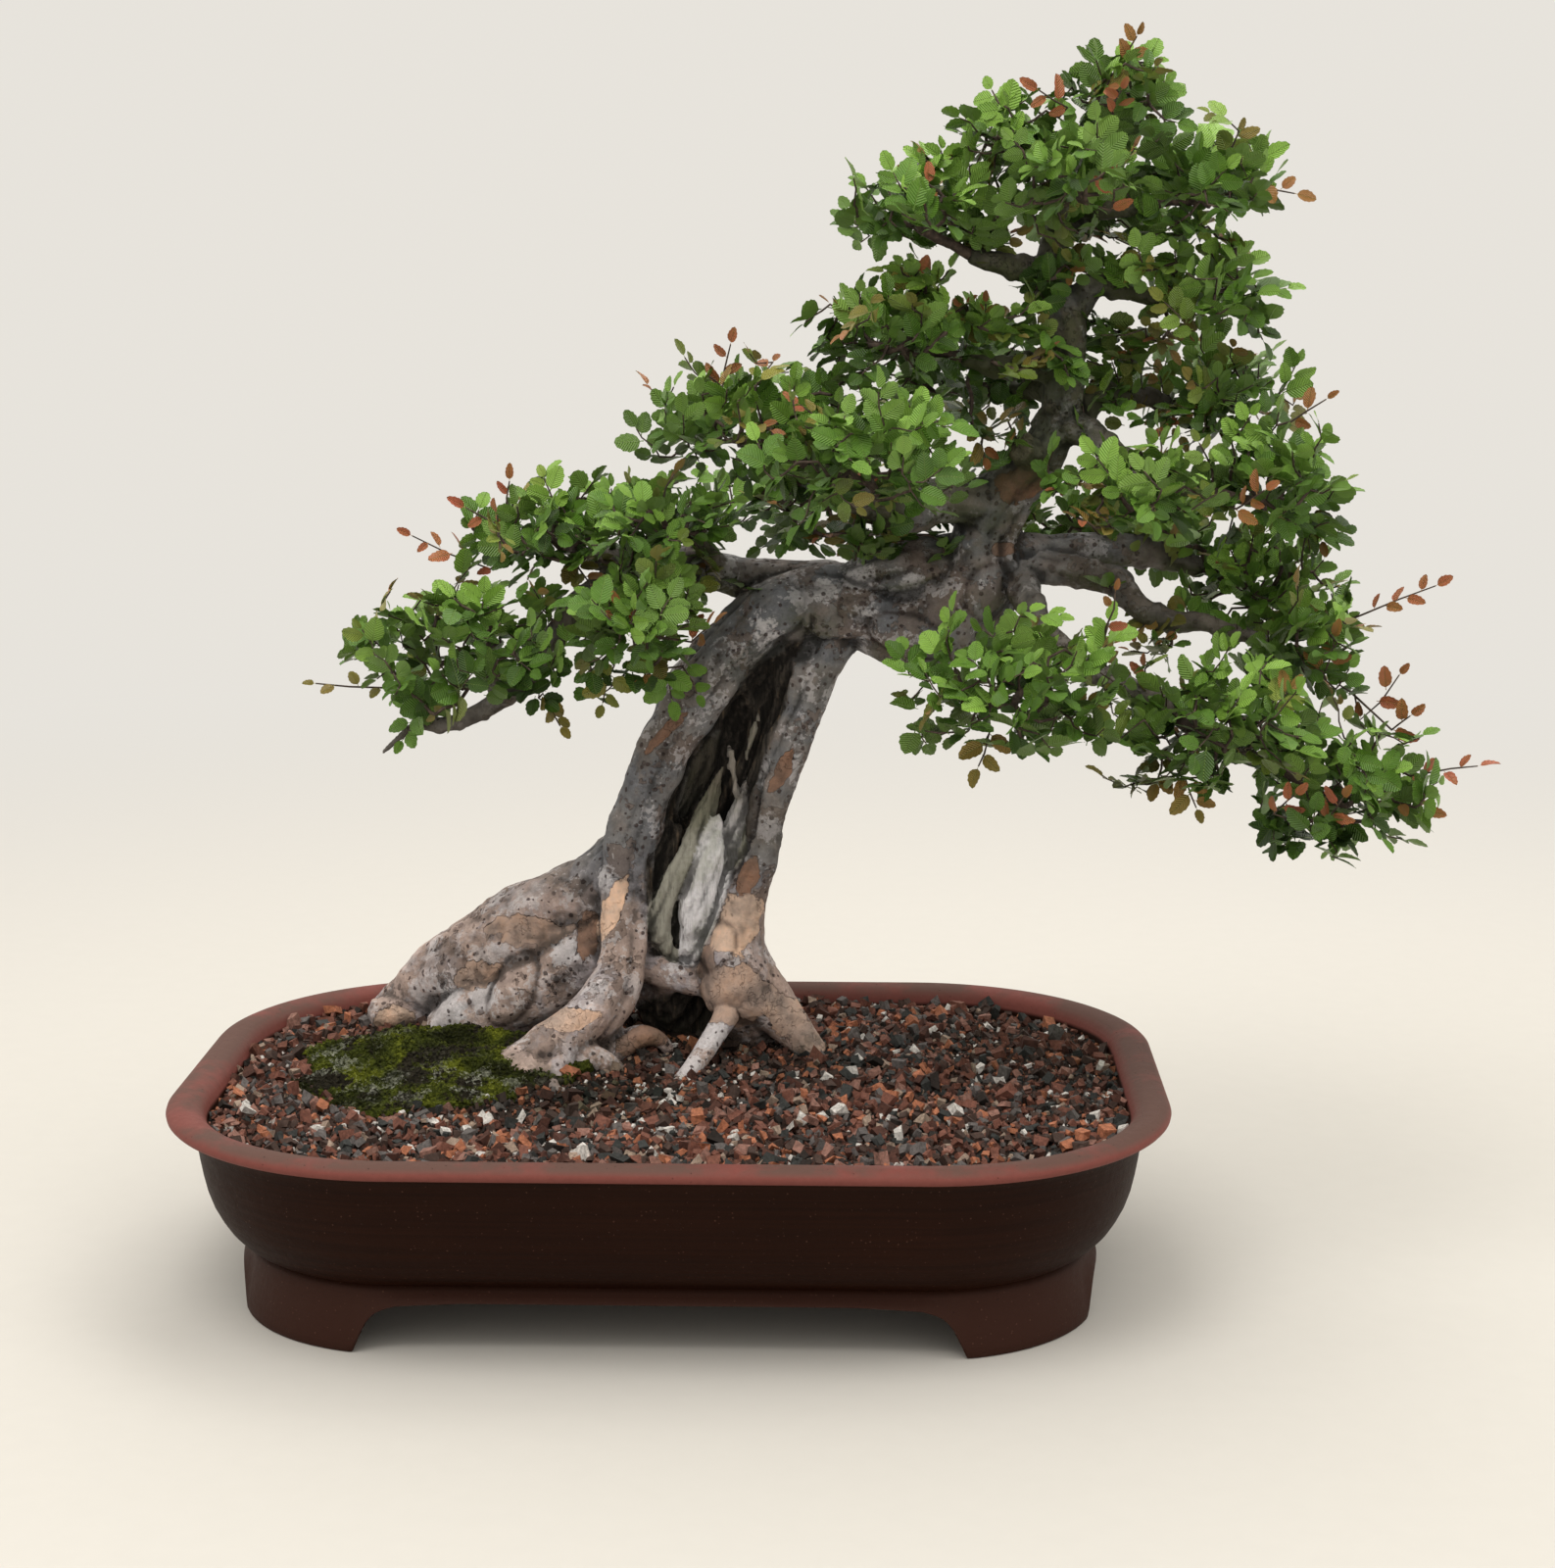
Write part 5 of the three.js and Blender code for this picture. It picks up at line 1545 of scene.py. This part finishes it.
def leaves_on(line, outward, count, spacing, settings, rng, young):
    """Leaves to the left and right in turn up the end of a twig, and one at its tip."""
    tip = line[-1]
    ahead = (tip - line[-2]).normalized()
    lean = Vector((0.5 * outward.x, 0.5 * outward.y, 0.9)) + stray(rng, 0.42)
    basis = frame_of(ahead, lean)
    across, face = Vector(basis[:, 1]), Vector(basis[:, 2])
    leaves = []
    length = settings.leaf_length / MM
    for i in range(count):
        size = length * rng.uniform(0.66, 1.16) * (0.62 + 0.38 * min(1, (i + 1) / 3))
        if young:
            size *= 0.9
        if i == 0:
            direction = ahead + face * rng.uniform(-0.1, 0.3)
            foot = tip
        else:
            side = 1 if i % 2 else -1
            swing = rng.uniform(0.7, 1.15)
            direction = ahead * math.cos(swing) + across * (side * math.sin(swing))
            direction += face * rng.uniform(-0.12, 0.4)
            foot = tip - ahead * (i * spacing * rng.uniform(0.85, 1.1))
        tilt = face + across * rng.normal(0, 0.3) + ahead * rng.normal(0, 0.2)
        foot = foot + direction.normalized() * (size * STALK)
        leaves.append((foot, direction, tilt, size, i))
    return leaves


def build_spray(name, bank, settings, rng):
    """The leaves of one spray as a mesh, and the lines of its twigs."""
    path, middle, half = BRANCHES[name]
    room = half[0] * half[1] * half[2]
    count = max(12, round(settings.tips * (room / ROOM_OF_SPRAY) ** 0.72))
    tips = spray_tips(name, count, rng)
    places, parents, ends = grow_twigs(path, middle, half, tips, rng)
    lines = twig_lines(places, parents, path[-1][3] * 0.72)
    centre = Vector(middle)
    leaves = []
    for end in ends:
        outward = places[end] - centre
        outward = Vector([o / h for o, h in zip(outward, half)])
        outward /= max(1, outward.length)
        line = [places[parents[end]], places[end]]
        inner = outward.length < 0.62
        standing = outward.length > 0.97
        number = int(rng.integers(2, 5)) if inner else int(rng.integers(4, 8))
        share = settings.young_share * (0 if inner else 5 if standing else 1)
        red = rng.uniform(0.15, 0.8) if rng.random() < share else 0.0
        # Painted light: leaves high and far out in a spray are lighter, and those deep inside darker as
        # painted shade.
        painted_leaf_light = np.clip(0.3 + 0.45 * outward.z + 0.2 * outward.length + rng.normal(0, 0.12), 0, 1)
        spacing = LEAF_GAPS["standing" if standing else "others"]
        grown = leaves_on(line, outward, number, spacing, settings, rng, red > 0)
        for foot, direction, tilt, size, i in grown:
            tone = np.clip(painted_leaf_light + rng.normal(0, 0.13) + (0.16 if i == 0 else 0), 0, 1)
            blush = red * (1.0 if i < 2 else 0.45)
            leaves.append((foot, direction, tilt, size, tone, blush))
    for foot, tip, number, red in SHOOTS.get(name, []):
        foot, tip = Vector(foot), Vector(tip)
        origin = min(places, key=lambda place: (place - foot).length)
        bend = foot.lerp(tip, 0.5) + stray(rng, 1.2)
        lines.append(list(zip((origin, foot, bend, tip), SHOOT_RADII)))
        spacing = (tip - foot).length / max(2, number - 1)
        facing = Vector((0.5 * math.copysign(1, tip.x - foot.x), -2.6, 0.5))
        for leaf in leaves_on([foot, tip], facing, number, spacing, settings, rng, red > 0):
            foot_at, direction, tilt, size, i = leaf
            leaves.append((foot_at, direction, tilt, size, 0.6, red * rng.uniform(0.75, 1.0)))
    bm = bank.copy()
    each = copies(bm, LEAF_VARIANTS, len(leaves))
    mesh = mesh_of(bm, "leaves_" + name)
    feet = [placed(*leaf[0]) for leaf in leaves]
    frames = np.array([frame_of(leaf[1], leaf[2]) for leaf in leaves])
    sizes = np.array([[leaf[3], leaf[3] * (1 - 0.32 * leaf[5]), leaf[3]] for leaf in leaves]) * MM
    scatter(mesh, each, feet, frames, sizes)
    tones, blushes = [[leaf[column] for leaf in leaves] for column in (4, 5)]
    paint(mesh, tone=np.repeat(tones, each), blush=np.repeat(blushes, each))
    return mesh, lines


def leaf_material(colours):
    """Glossy toothed elm leaves: green tones with painted light and shade across each spray, a pale midrib
    and side veins, and red young ones.
    """
    leaf = Finish("Elm leaf", 0.38, 0.42)
    uv = node(leaf.tree, "UVMap", uv_map="Leaf")
    off = (uv.part(1) - 0.5).maths("ABSOLUTE")
    blush = leaf.read("blush")
    mottled = (leaf.where.cloud(90, 3) - 0.5) * 0.5
    greens = [(0.0, colours.dark_colour), (0.5, colours.green_colour), (1.0, colours.new_and_lit_leaf_colour)]
    reds = [(0.3, (0.32, 0.16, 0.045)), (0.6, colours.bronze_colour), (1.0, colours.red_colour)]
    green = (leaf.read("tone") + mottled).ramp(*greens)
    colour = green.toward((blush + mottled).ramp(*reds), blush.span(0.05, 0.55))
    slant = uv.part(0) - off * 0.55
    vein = ((slant * VEINS).maths("FRACT") - 0.5).maths("ABSOLUTE").span(0.12, 0.0)
    rib = off.span(0.03, 0.008)
    paler = colour.toward((0.32, 0.44, 0.12), 0.55)
    colour = colour.toward(paler, rib.most(vein * 0.45) * 0.55)
    back = node(leaf.tree, "NewGeometry", out="Backfacing")
    colour = colour.toward(colour.toward((0.19, 0.30, 0.07), 0.4), back)
    pillow = (slant * (VEINS * 6.283)).maths("SINE") * 0.5
    return leaf.done(colour, (pillow, 0.0004), (rib, -0.0003))


def twig_material(colours):
    """Dark brown twigs with a little grey."""
    twig = Finish("Elm twig", 0.75, 0.3)
    tone = twig.where.cloud(240, 4, 0.65)
    brown = colours.twig_colour
    colour = tone.ramp((0.3, scaled(brown, 0.35)), (0.55, brown), (0.8, scaled(brown, 2.4)))
    return twig.done(colour, (tone, 0.0006))


# The drain screens


def screen_material(colours):
    """Dull black plastic mesh with a fine moulded grain and some dust."""
    plastic = Finish("Plastic mesh", 0.55, 0.4)
    dust = plastic.where.patches(150, 0.52, 0.1, 1.0) * 0.5
    colour = dust.mix(colours.mesh_colour, (0.14, 0.09, 0.065))
    return plastic.done(colour, (plastic.where.cloud(1500, 3), 0.0001))


# The stage

CAMERA = {"x": 107, "y": -1639, "z": 586, "turn": 1.68, "tilt": 10.51, "lens": 67.5, "sensor": 36}
# Soft lights: [x, y, z, width, power] in metres and watts, each aimed at the middle of the tree
LIGHTS = [
    [-0.7, -1.1, 2.5, 1.6, 26], [1.3, -0.6, 2.2, 1.4, 12], [0.2, 1.2, 2.3, 1.8, 16],
]
LIGHT_AIM = Vector((0, 0, 0.3))
LIGHT_COLOUR = (1.0, 0.97, 0.93)
FLOOR_REACH = 12
FLOOR_FADE = [0.5, 2.3]  # metres from the middle over which the floor fades into the backdrop


def floor_material(colours):
    """A pale matt floor that fades into the backdrop's light far out."""
    floor = Finish("Studio floor", 0.85, 0.0)
    far = node(floor.tree, "VectorMath", {0: floor.where}, "Value", operation="LENGTH")
    inputs = {0: far, 1: FLOOR_FADE[0], 2: FLOOR_FADE[1]}
    share = node(floor.tree, "MapRange", inputs, interpolation_type="SMOOTHSTEP")
    speck = floor.where.cloud(60, 4).ramp((0.3, 0.985), (0.7, 1.0))
    near = node(floor.tree, "Mix", {0: 1.0, 6: colours.floor_colour, 7: speck}, 2, data_type="RGBA",
                blend_type="MULTIPLY")
    floor.shader["Emission Strength"].default_value = 1.0
    glow = share.mix((0, 0, 0), colours.backdrop_colour)
    return floor.done(near.toward((0, 0, 0), share), emission_color=glow)


def backdrop_world(colours):
    """Soft light all round: pale at the horizon and stronger overhead."""
    world = bpy.data.worlds.new("backdrop")
    world.use_nodes = True
    tree = world.node_tree
    rise = node(tree, "TexCoord", out="Generated").part(2).span(0.12, 0.85)
    light = rise.mix(colours.backdrop_colour, scaled(colours.backdrop_colour, colours.overhead))
    light.socket.node.clamp_result = False
    background = tree.nodes["Background"].inputs
    feed(background["Color"], light)
    background["Strength"].default_value = 1.0
    return world


# Settings that a user would change


def colour_value(name, description, default):
    """A colour property."""
    return bpy.props.FloatVectorProperty(
        name=name, description=description, default=default, size=3, min=0, max=1, subtype="COLOR"
    )


def count_value(name, description, default, least=0):
    """A whole number."""
    return bpy.props.IntProperty(name=name, description=description, default=default, min=least)


def length_value(name, description, default, least=0.001):
    """A length in metres."""
    return bpy.props.FloatProperty(
        name=name, description=description, default=default, min=least, unit="LENGTH"
    )


class BonsaiPotSettings(bpy.types.PropertyGroup):
    """Colours of the clay pot and of the mesh over its drain holes."""

    # The wall's colour is partly the clay's own dark tone and partly painted shade.
    wall_and_shade_colour: colour_value("Wall", "Dark unglazed clay of the wall and the feet", (0.0118, 0.0032, 0.0011))
    rim_colour: colour_value("Rim", "Brick red clay of the rolled rim", (0.215, 0.068, 0.056))
    worn_colour: colour_value("Worn rim", "Grey-brown top of the rim", (0.105, 0.066, 0.054))
    mesh_colour: colour_value("Mesh", "Plastic mesh over the drain holes", (0.02, 0.02, 0.021))


class BonsaiGroundSettings(bpy.types.PropertyGroup):
    """Size, count and colours of the soil granules and the moss."""

    granules: count_value("Granules", "Granules strewn over the pot's whole width", 9000)
    grit: count_value("Grit", "Finer bits between the granules", 11000)
    granule_size: length_value("Granule size", "Typical diameter of a granule", 0.0056)
    tufts: count_value("Moss tufts", "Tufts that stand on the moss", 5200)
    brick_colour: colour_value("Brick granules", "The most common granules", (0.2, 0.08, 0.055))
    orange_colour: colour_value("Orange granules", "The brightest fired clay", (0.45, 0.17, 0.09))
    moss_colour: colour_value("Moss", "Body of the moss", (0.07, 0.09, 0.011))
    tip_colour: colour_value("Moss tips", "Bright tips of the moss", (0.21, 0.24, 0.035))
    seed: count_value("Seed", "Start of the random draws", 11)


class BonsaiWoodSettings(bpy.types.PropertyGroup):
    """Relief and colours of the wood."""

    voxel: length_value("Voxel", "Size of the grid that joins the limbs", 0.0019, 0.0012)
    triangles: count_value("Triangles", "Most triangles in the wood", 196000, 20000)
    flute_share: bpy.props.FloatProperty(
        name="Flutes", description="Depth of the long hollows, as a share of a limb's radius", default=0.16
    )
    seed: bpy.props.FloatProperty(name="Seed", description="Where the relief's noise starts", default=3.3)
    bark_colour: colour_value("Bark", "Grey outer bark of the trunk", (0.148, 0.144, 0.143))
    root_colour: colour_value("Root bark", "Paler bark of the roots", (0.325, 0.28, 0.272))
    flake_colour: colour_value("Flakes", "Pinkish brown where flakes have come off", (0.29, 0.21, 0.172))
    tan_colour: colour_value("Fresh tan", "Newly bared bark", (0.52, 0.37, 0.28))
    orange_colour: colour_value("Orange brown", "Bared bark where it is rusty", (0.165, 0.088, 0.055))
    deadwood_colour: colour_value("Dead wood", "Weathered wood in the hollow", (0.66, 0.645, 0.66))
    twig_colour: colour_value("Twigs", "Fine twigs", (0.075, 0.052, 0.04))


class BonsaiFoliageSettings(bpy.types.PropertyGroup):
    """Size, count and colours of the leaves."""

    tips: count_value("Twig tips", "Leafy twig tips in a spray of middle size", 59, 8)
    leaf_length: length_value("Leaf length", "Length of a grown leaf's blade", 0.0148, 0.004)
    leaf_width: length_value("Leaf width", "Width of a grown leaf's blade", 0.0104, 0.002)
    young_share: bpy.props.FloatProperty(
        name="Young share", description="Share of the twigs whose leaves are young and red", default=0.07,
        subtype="FACTOR",
    )
    # Painted light and shade: leaves go from the shaded colour deep in a spray to the light colour high and
    # far out; new tip leaves are lighter too.
    dark_colour: colour_value("Shaded leaf", "Leaves deep in a spray", (0.028, 0.066, 0.008))
    green_colour: colour_value("Leaf", "Grown leaves", (0.098, 0.215, 0.022))
    new_and_lit_leaf_colour: colour_value("Light leaf", "New leaves at the tips", (0.265, 0.47, 0.07))
    bronze_colour: colour_value("Bronze leaf", "Half-grown leaves", (0.36, 0.17, 0.05))
    red_colour: colour_value("Red leaf", "Newest leaves", (0.52, 0.12, 0.075))
    seed: count_value("Seed", "Start of the random draws", 7)


class BonsaiStageSettings(bpy.types.PropertyGroup):
    """Floor and surrounding light."""

    floor_colour: colour_value("Floor", "Pale floor", (0.62, 0.60, 0.56))
    backdrop_colour: colour_value("Backdrop", "Light that surrounds the scene", (0.80, 0.77, 0.715))
    overhead: bpy.props.FloatProperty(
        name="Overhead", description="Brightness overhead, as a share of the horizon's", default=1.35, min=0
    )


# Operators


class BONSAI_OT_stage(bpy.types.Operator):
    """Make the pale floor, the soft lights and the camera"""

    bl_idname = "bonsai.stage"
    bl_label = "Stage"

    def execute(self, context):
        settings = context.scene.bonsai_stage
        bm = bmesh.new()
        bmesh.ops.create_grid(bm, x_segments=8, y_segments=8, size=FLOOR_REACH)
        floor = bpy.data.objects.new("floor", mesh_of(bm, "floor"))
        floor.data.materials.append(floor_material(settings))
        context.scene.collection.objects.link(floor)
        for number, (x, y, z, width, power) in enumerate(LIGHTS):
            lamp = bpy.data.lights.new("softbox_%d" % number, "AREA")
            lamp.shape = "DISK"
            lamp.size = width
            lamp.energy = power
            lamp.color = LIGHT_COLOUR
            holder = bpy.data.objects.new(lamp.name, lamp)
            holder.location = (x, y, z)
            holder.rotation_euler = (LIGHT_AIM - holder.location).to_track_quat("-Z", "Y").to_euler()
            context.scene.collection.objects.link(holder)
        context.scene.world = backdrop_world(settings)
        context.scene.view_settings.view_transform = "Standard"
        lens = bpy.data.cameras.new("camera")
        lens.lens = CAMERA["lens"]
        lens.sensor_width = CAMERA["sensor"]
        lens.clip_start = 0.05
        camera = bpy.data.objects.new("camera", lens)
        camera.location = placed(CAMERA["x"], CAMERA["y"], CAMERA["z"])
        camera.rotation_euler = (math.radians(90 - CAMERA["tilt"]), 0, math.radians(CAMERA["turn"]))
        context.scene.collection.objects.link(camera)
        context.scene.camera = camera
        return {"FINISHED"}


class BONSAI_OT_pot(bpy.types.Operator):
    """Make the clay pot"""

    bl_idname = "bonsai.pot"
    bl_label = "Pot"

    def execute(self, context):
        link_piece("clay_pot", clay_pot_mesh(), clay_material(context.scene.bonsai_pot), "clay", "pot")
        return {"FINISHED"}


class BONSAI_OT_screens(bpy.types.Operator):
    """Finish the plastic mesh over the drain holes"""

    bl_idname = "bonsai.screens"
    bl_label = "Drain screens"

    def execute(self, context):
        plastic = screen_material(context.scene.bonsai_pot)
        for side in ("left", "right"):
            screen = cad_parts["drain_screen_" + side]
            screen.data.materials.clear()
            screen.data.materials.append(plastic)
        return {"FINISHED"}


class BONSAI_OT_wood(bpy.types.Operator):
    """Make the roots, the hollow trunk and the branches"""

    bl_idname = "bonsai.wood"
    bl_label = "Wood"

    def execute(self, context):
        settings = context.scene.bonsai_wood
        mesh = wood_union(settings.voxel)
        carve_wood(mesh, settings)
        mesh.calc_loop_triangles()
        count = len(mesh.loop_triangles)
        if count < LEAST_TRIANGLES:
            raise RuntimeError("the limbs didn't join into one skin")
        if count > settings.triangles:
            mesh = modified(mesh, ("DECIMATE", {"ratio": settings.triangles / count}))
        link_piece("old_trunk", smoothed(mesh), bark_material(settings), "bark", "trunk")
        return {"FINISHED"}


class BONSAI_OT_soil(bpy.types.Operator):
    """Make the soil bed with its granules and grit"""

    bl_idname = "bonsai.soil"
    bl_label = "Soil"

    def execute(self, context):
        settings = context.scene.bonsai_ground
        rng = np.random.default_rng(settings.seed)
        link_piece("soil_bed", soil_bed_mesh(), bed_material(), "soil", "soil")
        wood = cad_tree("trunk")

        def free(x, y):
            """Whether a place lies clear of the wood and of the moss."""
            at = placed(x, y, ground(x, y) + 1)
            near, normal = wood.find_nearest(at, BARE_REACH)[:2]
            inside = near is not None and (at - near).dot(normal) < MM / 2
            return not inside and moss_share(x, y) > 0.93

        stone = stone_material(settings)
        scale = settings.granule_size / MM / 2
        kinds_of_stone = [("granules", settings.granules, 1.0), ("grit", settings.grit, GRIT_SHARE)]
        for name, number, share in kinds_of_stone:
            sizes, feet, kinds, damps = [], [], [], []
            for x, y in strewn(number, rng, free):
                size = scale * share * min(1.9, math.exp(rng.normal(-0.08, 0.34)))
                wet = spread_at(DAMP, x, y)
                kind = rng.random()
                if rng.random() < spread_at(WHITE, x, y) * (0.9 if name == "grit" else 0.5):
                    kind = WHITE_KIND
                    size *= 0.8
                elif name == "granules" and rng.random() < wet * 0.7:
                    size *= 0.5
                sizes.append(np.array([1, rng.uniform(0.55, 0.95), rng.uniform(0.4, 0.8)]) * size * MM)
                lift = rng.uniform(-0.3, 0.8)
                feet.append(placed(x, y, ground(x, y) - BED_DEPTH + size * (0.35 + lift)))
                kinds.append(kind)
                damps.append(np.clip(wet * rng.uniform(0.5, 1.3) + rng.normal(0, 0.08), 0, 1) * (kind < 0.97))
            mesh, each = stones_mesh(name, feet, np.array(sizes), rng)
            paint(mesh, kind=np.repeat(kinds, each), damp=np.repeat(damps, each))
            link_piece(name, mesh, stone, "soil")
        return {"FINISHED"}


class BONSAI_OT_moss(bpy.types.Operator):
    """Make the moss cushion and its tufts"""

    bl_idname = "bonsai.moss"
    bl_label = "Moss"

    def execute(self, context):
        settings = context.scene.bonsai_ground
        rng = np.random.default_rng(settings.seed + 1)
        cushion = moss_cushion_mesh()
        green = moss_material(settings)
        feet, sizes = [], []
        for _ in range(settings.tufts):
            angle = rng.uniform(0, 2 * math.pi)
            x, y = moss_place(angle, math.sqrt(rng.uniform(0, 0.99)))
            rise = moss_height(x, y)
            if rise is None:
                continue
            size = rng.uniform(0.7, 2.0)
            feet.append(placed(x, y, ground(x, y) + rise + size * 0.1))
            sizes.append(np.array([0.6, 0.6, 1.0]) * size * MM)
        tufts = stones_mesh("moss_tufts", feet, np.array(sizes), rng)[0]
        for name, mesh, nodes in (("moss_cushion", cushion, ["moss"]), ("moss_tufts", tufts, [])):
            paint(mesh, crust=[spread_at(MOSS_CRUST, x, y) for x, y, _ in in_tables(places_of(mesh))])
            link_piece(name, mesh, green, "moss", *nodes)
        return {"FINISHED"}


class BONSAI_OT_foliage(bpy.types.Operator):
    """Grow the twigs and the leaves of every spray"""

    bl_idname = "bonsai.foliage"
    bl_label = "Leafy sprays"

    def execute(self, context):
        settings = context.scene.bonsai_foliage
        bank = leaf_bank(settings, np.random.default_rng(settings.seed))
        leaf = leaf_material(settings)
        lines = []
        for number, name in enumerate(BRANCHES):
            rng = np.random.default_rng(settings.seed * 100 + number)
            mesh, twigs = build_spray(name, bank, settings, rng)
            link_piece("leaves_" + name, mesh, leaf, "leaf", "spray_" + name)
            lines += twigs
        bank.free()
        twigs = smoothed(tubes("twigs", lines, 6))
        link_piece("twigs", twigs, twig_material(context.scene.bonsai_wood), "bark")
        return {"FINISHED"}


class BONSAI_PT_sidebar(bpy.types.Panel):
    """Lists the steps that build the bonsai, with their settings"""

    bl_idname = "BONSAI_PT_sidebar"
    bl_label = "Chinese Elm Bonsai"
    bl_space_type = "VIEW_3D"
    bl_region_type = "UI"
    bl_category = "Bonsai"

    def draw(self, context):
        for operator in OPERATORS:
            self.layout.operator(operator.bl_idname)
        for group in GROUPS:
            box = self.layout.box()
            settings = getattr(context.scene, group)
            for name in settings.bl_rna.properties.keys():
                if name not in ("rna_type", "name"):
                    box.prop(settings, name)


OPERATORS = [
    BONSAI_OT_stage, BONSAI_OT_pot, BONSAI_OT_screens, BONSAI_OT_wood, BONSAI_OT_soil, BONSAI_OT_moss,
    BONSAI_OT_foliage,
]
GROUPS = {
    "bonsai_stage": BonsaiStageSettings,
    "bonsai_pot": BonsaiPotSettings,
    "bonsai_wood": BonsaiWoodSettings,
    "bonsai_ground": BonsaiGroundSettings,
    "bonsai_foliage": BonsaiFoliageSettings,
}


def register():
    """Registers the settings, the operators and the panel."""
    for group, kind in GROUPS.items():
        bpy.utils.register_class(kind)
        setattr(bpy.types.Scene, group, bpy.props.PointerProperty(type=kind))
    for kind in (*OPERATORS, BONSAI_PT_sidebar):
        bpy.utils.register_class(kind)


def unregister():
    """Takes the panel, the operators and the settings away again."""
    for kind in (BONSAI_PT_sidebar, *reversed(OPERATORS)):
        bpy.utils.unregister_class(kind)
    for group, kind in GROUPS.items():
        delattr(bpy.types.Scene, group)
        bpy.utils.unregister_class(kind)


def main():
    """Builds the stage and every piece."""
    register()
    bpy.ops.bonsai.stage()
    bpy.ops.bonsai.pot()
    bpy.ops.bonsai.screens()
    bpy.ops.bonsai.wood()
    bpy.ops.bonsai.soil()
    bpy.ops.bonsai.moss()
    bpy.ops.bonsai.foliage()


if __name__ == "__main__":
    main()
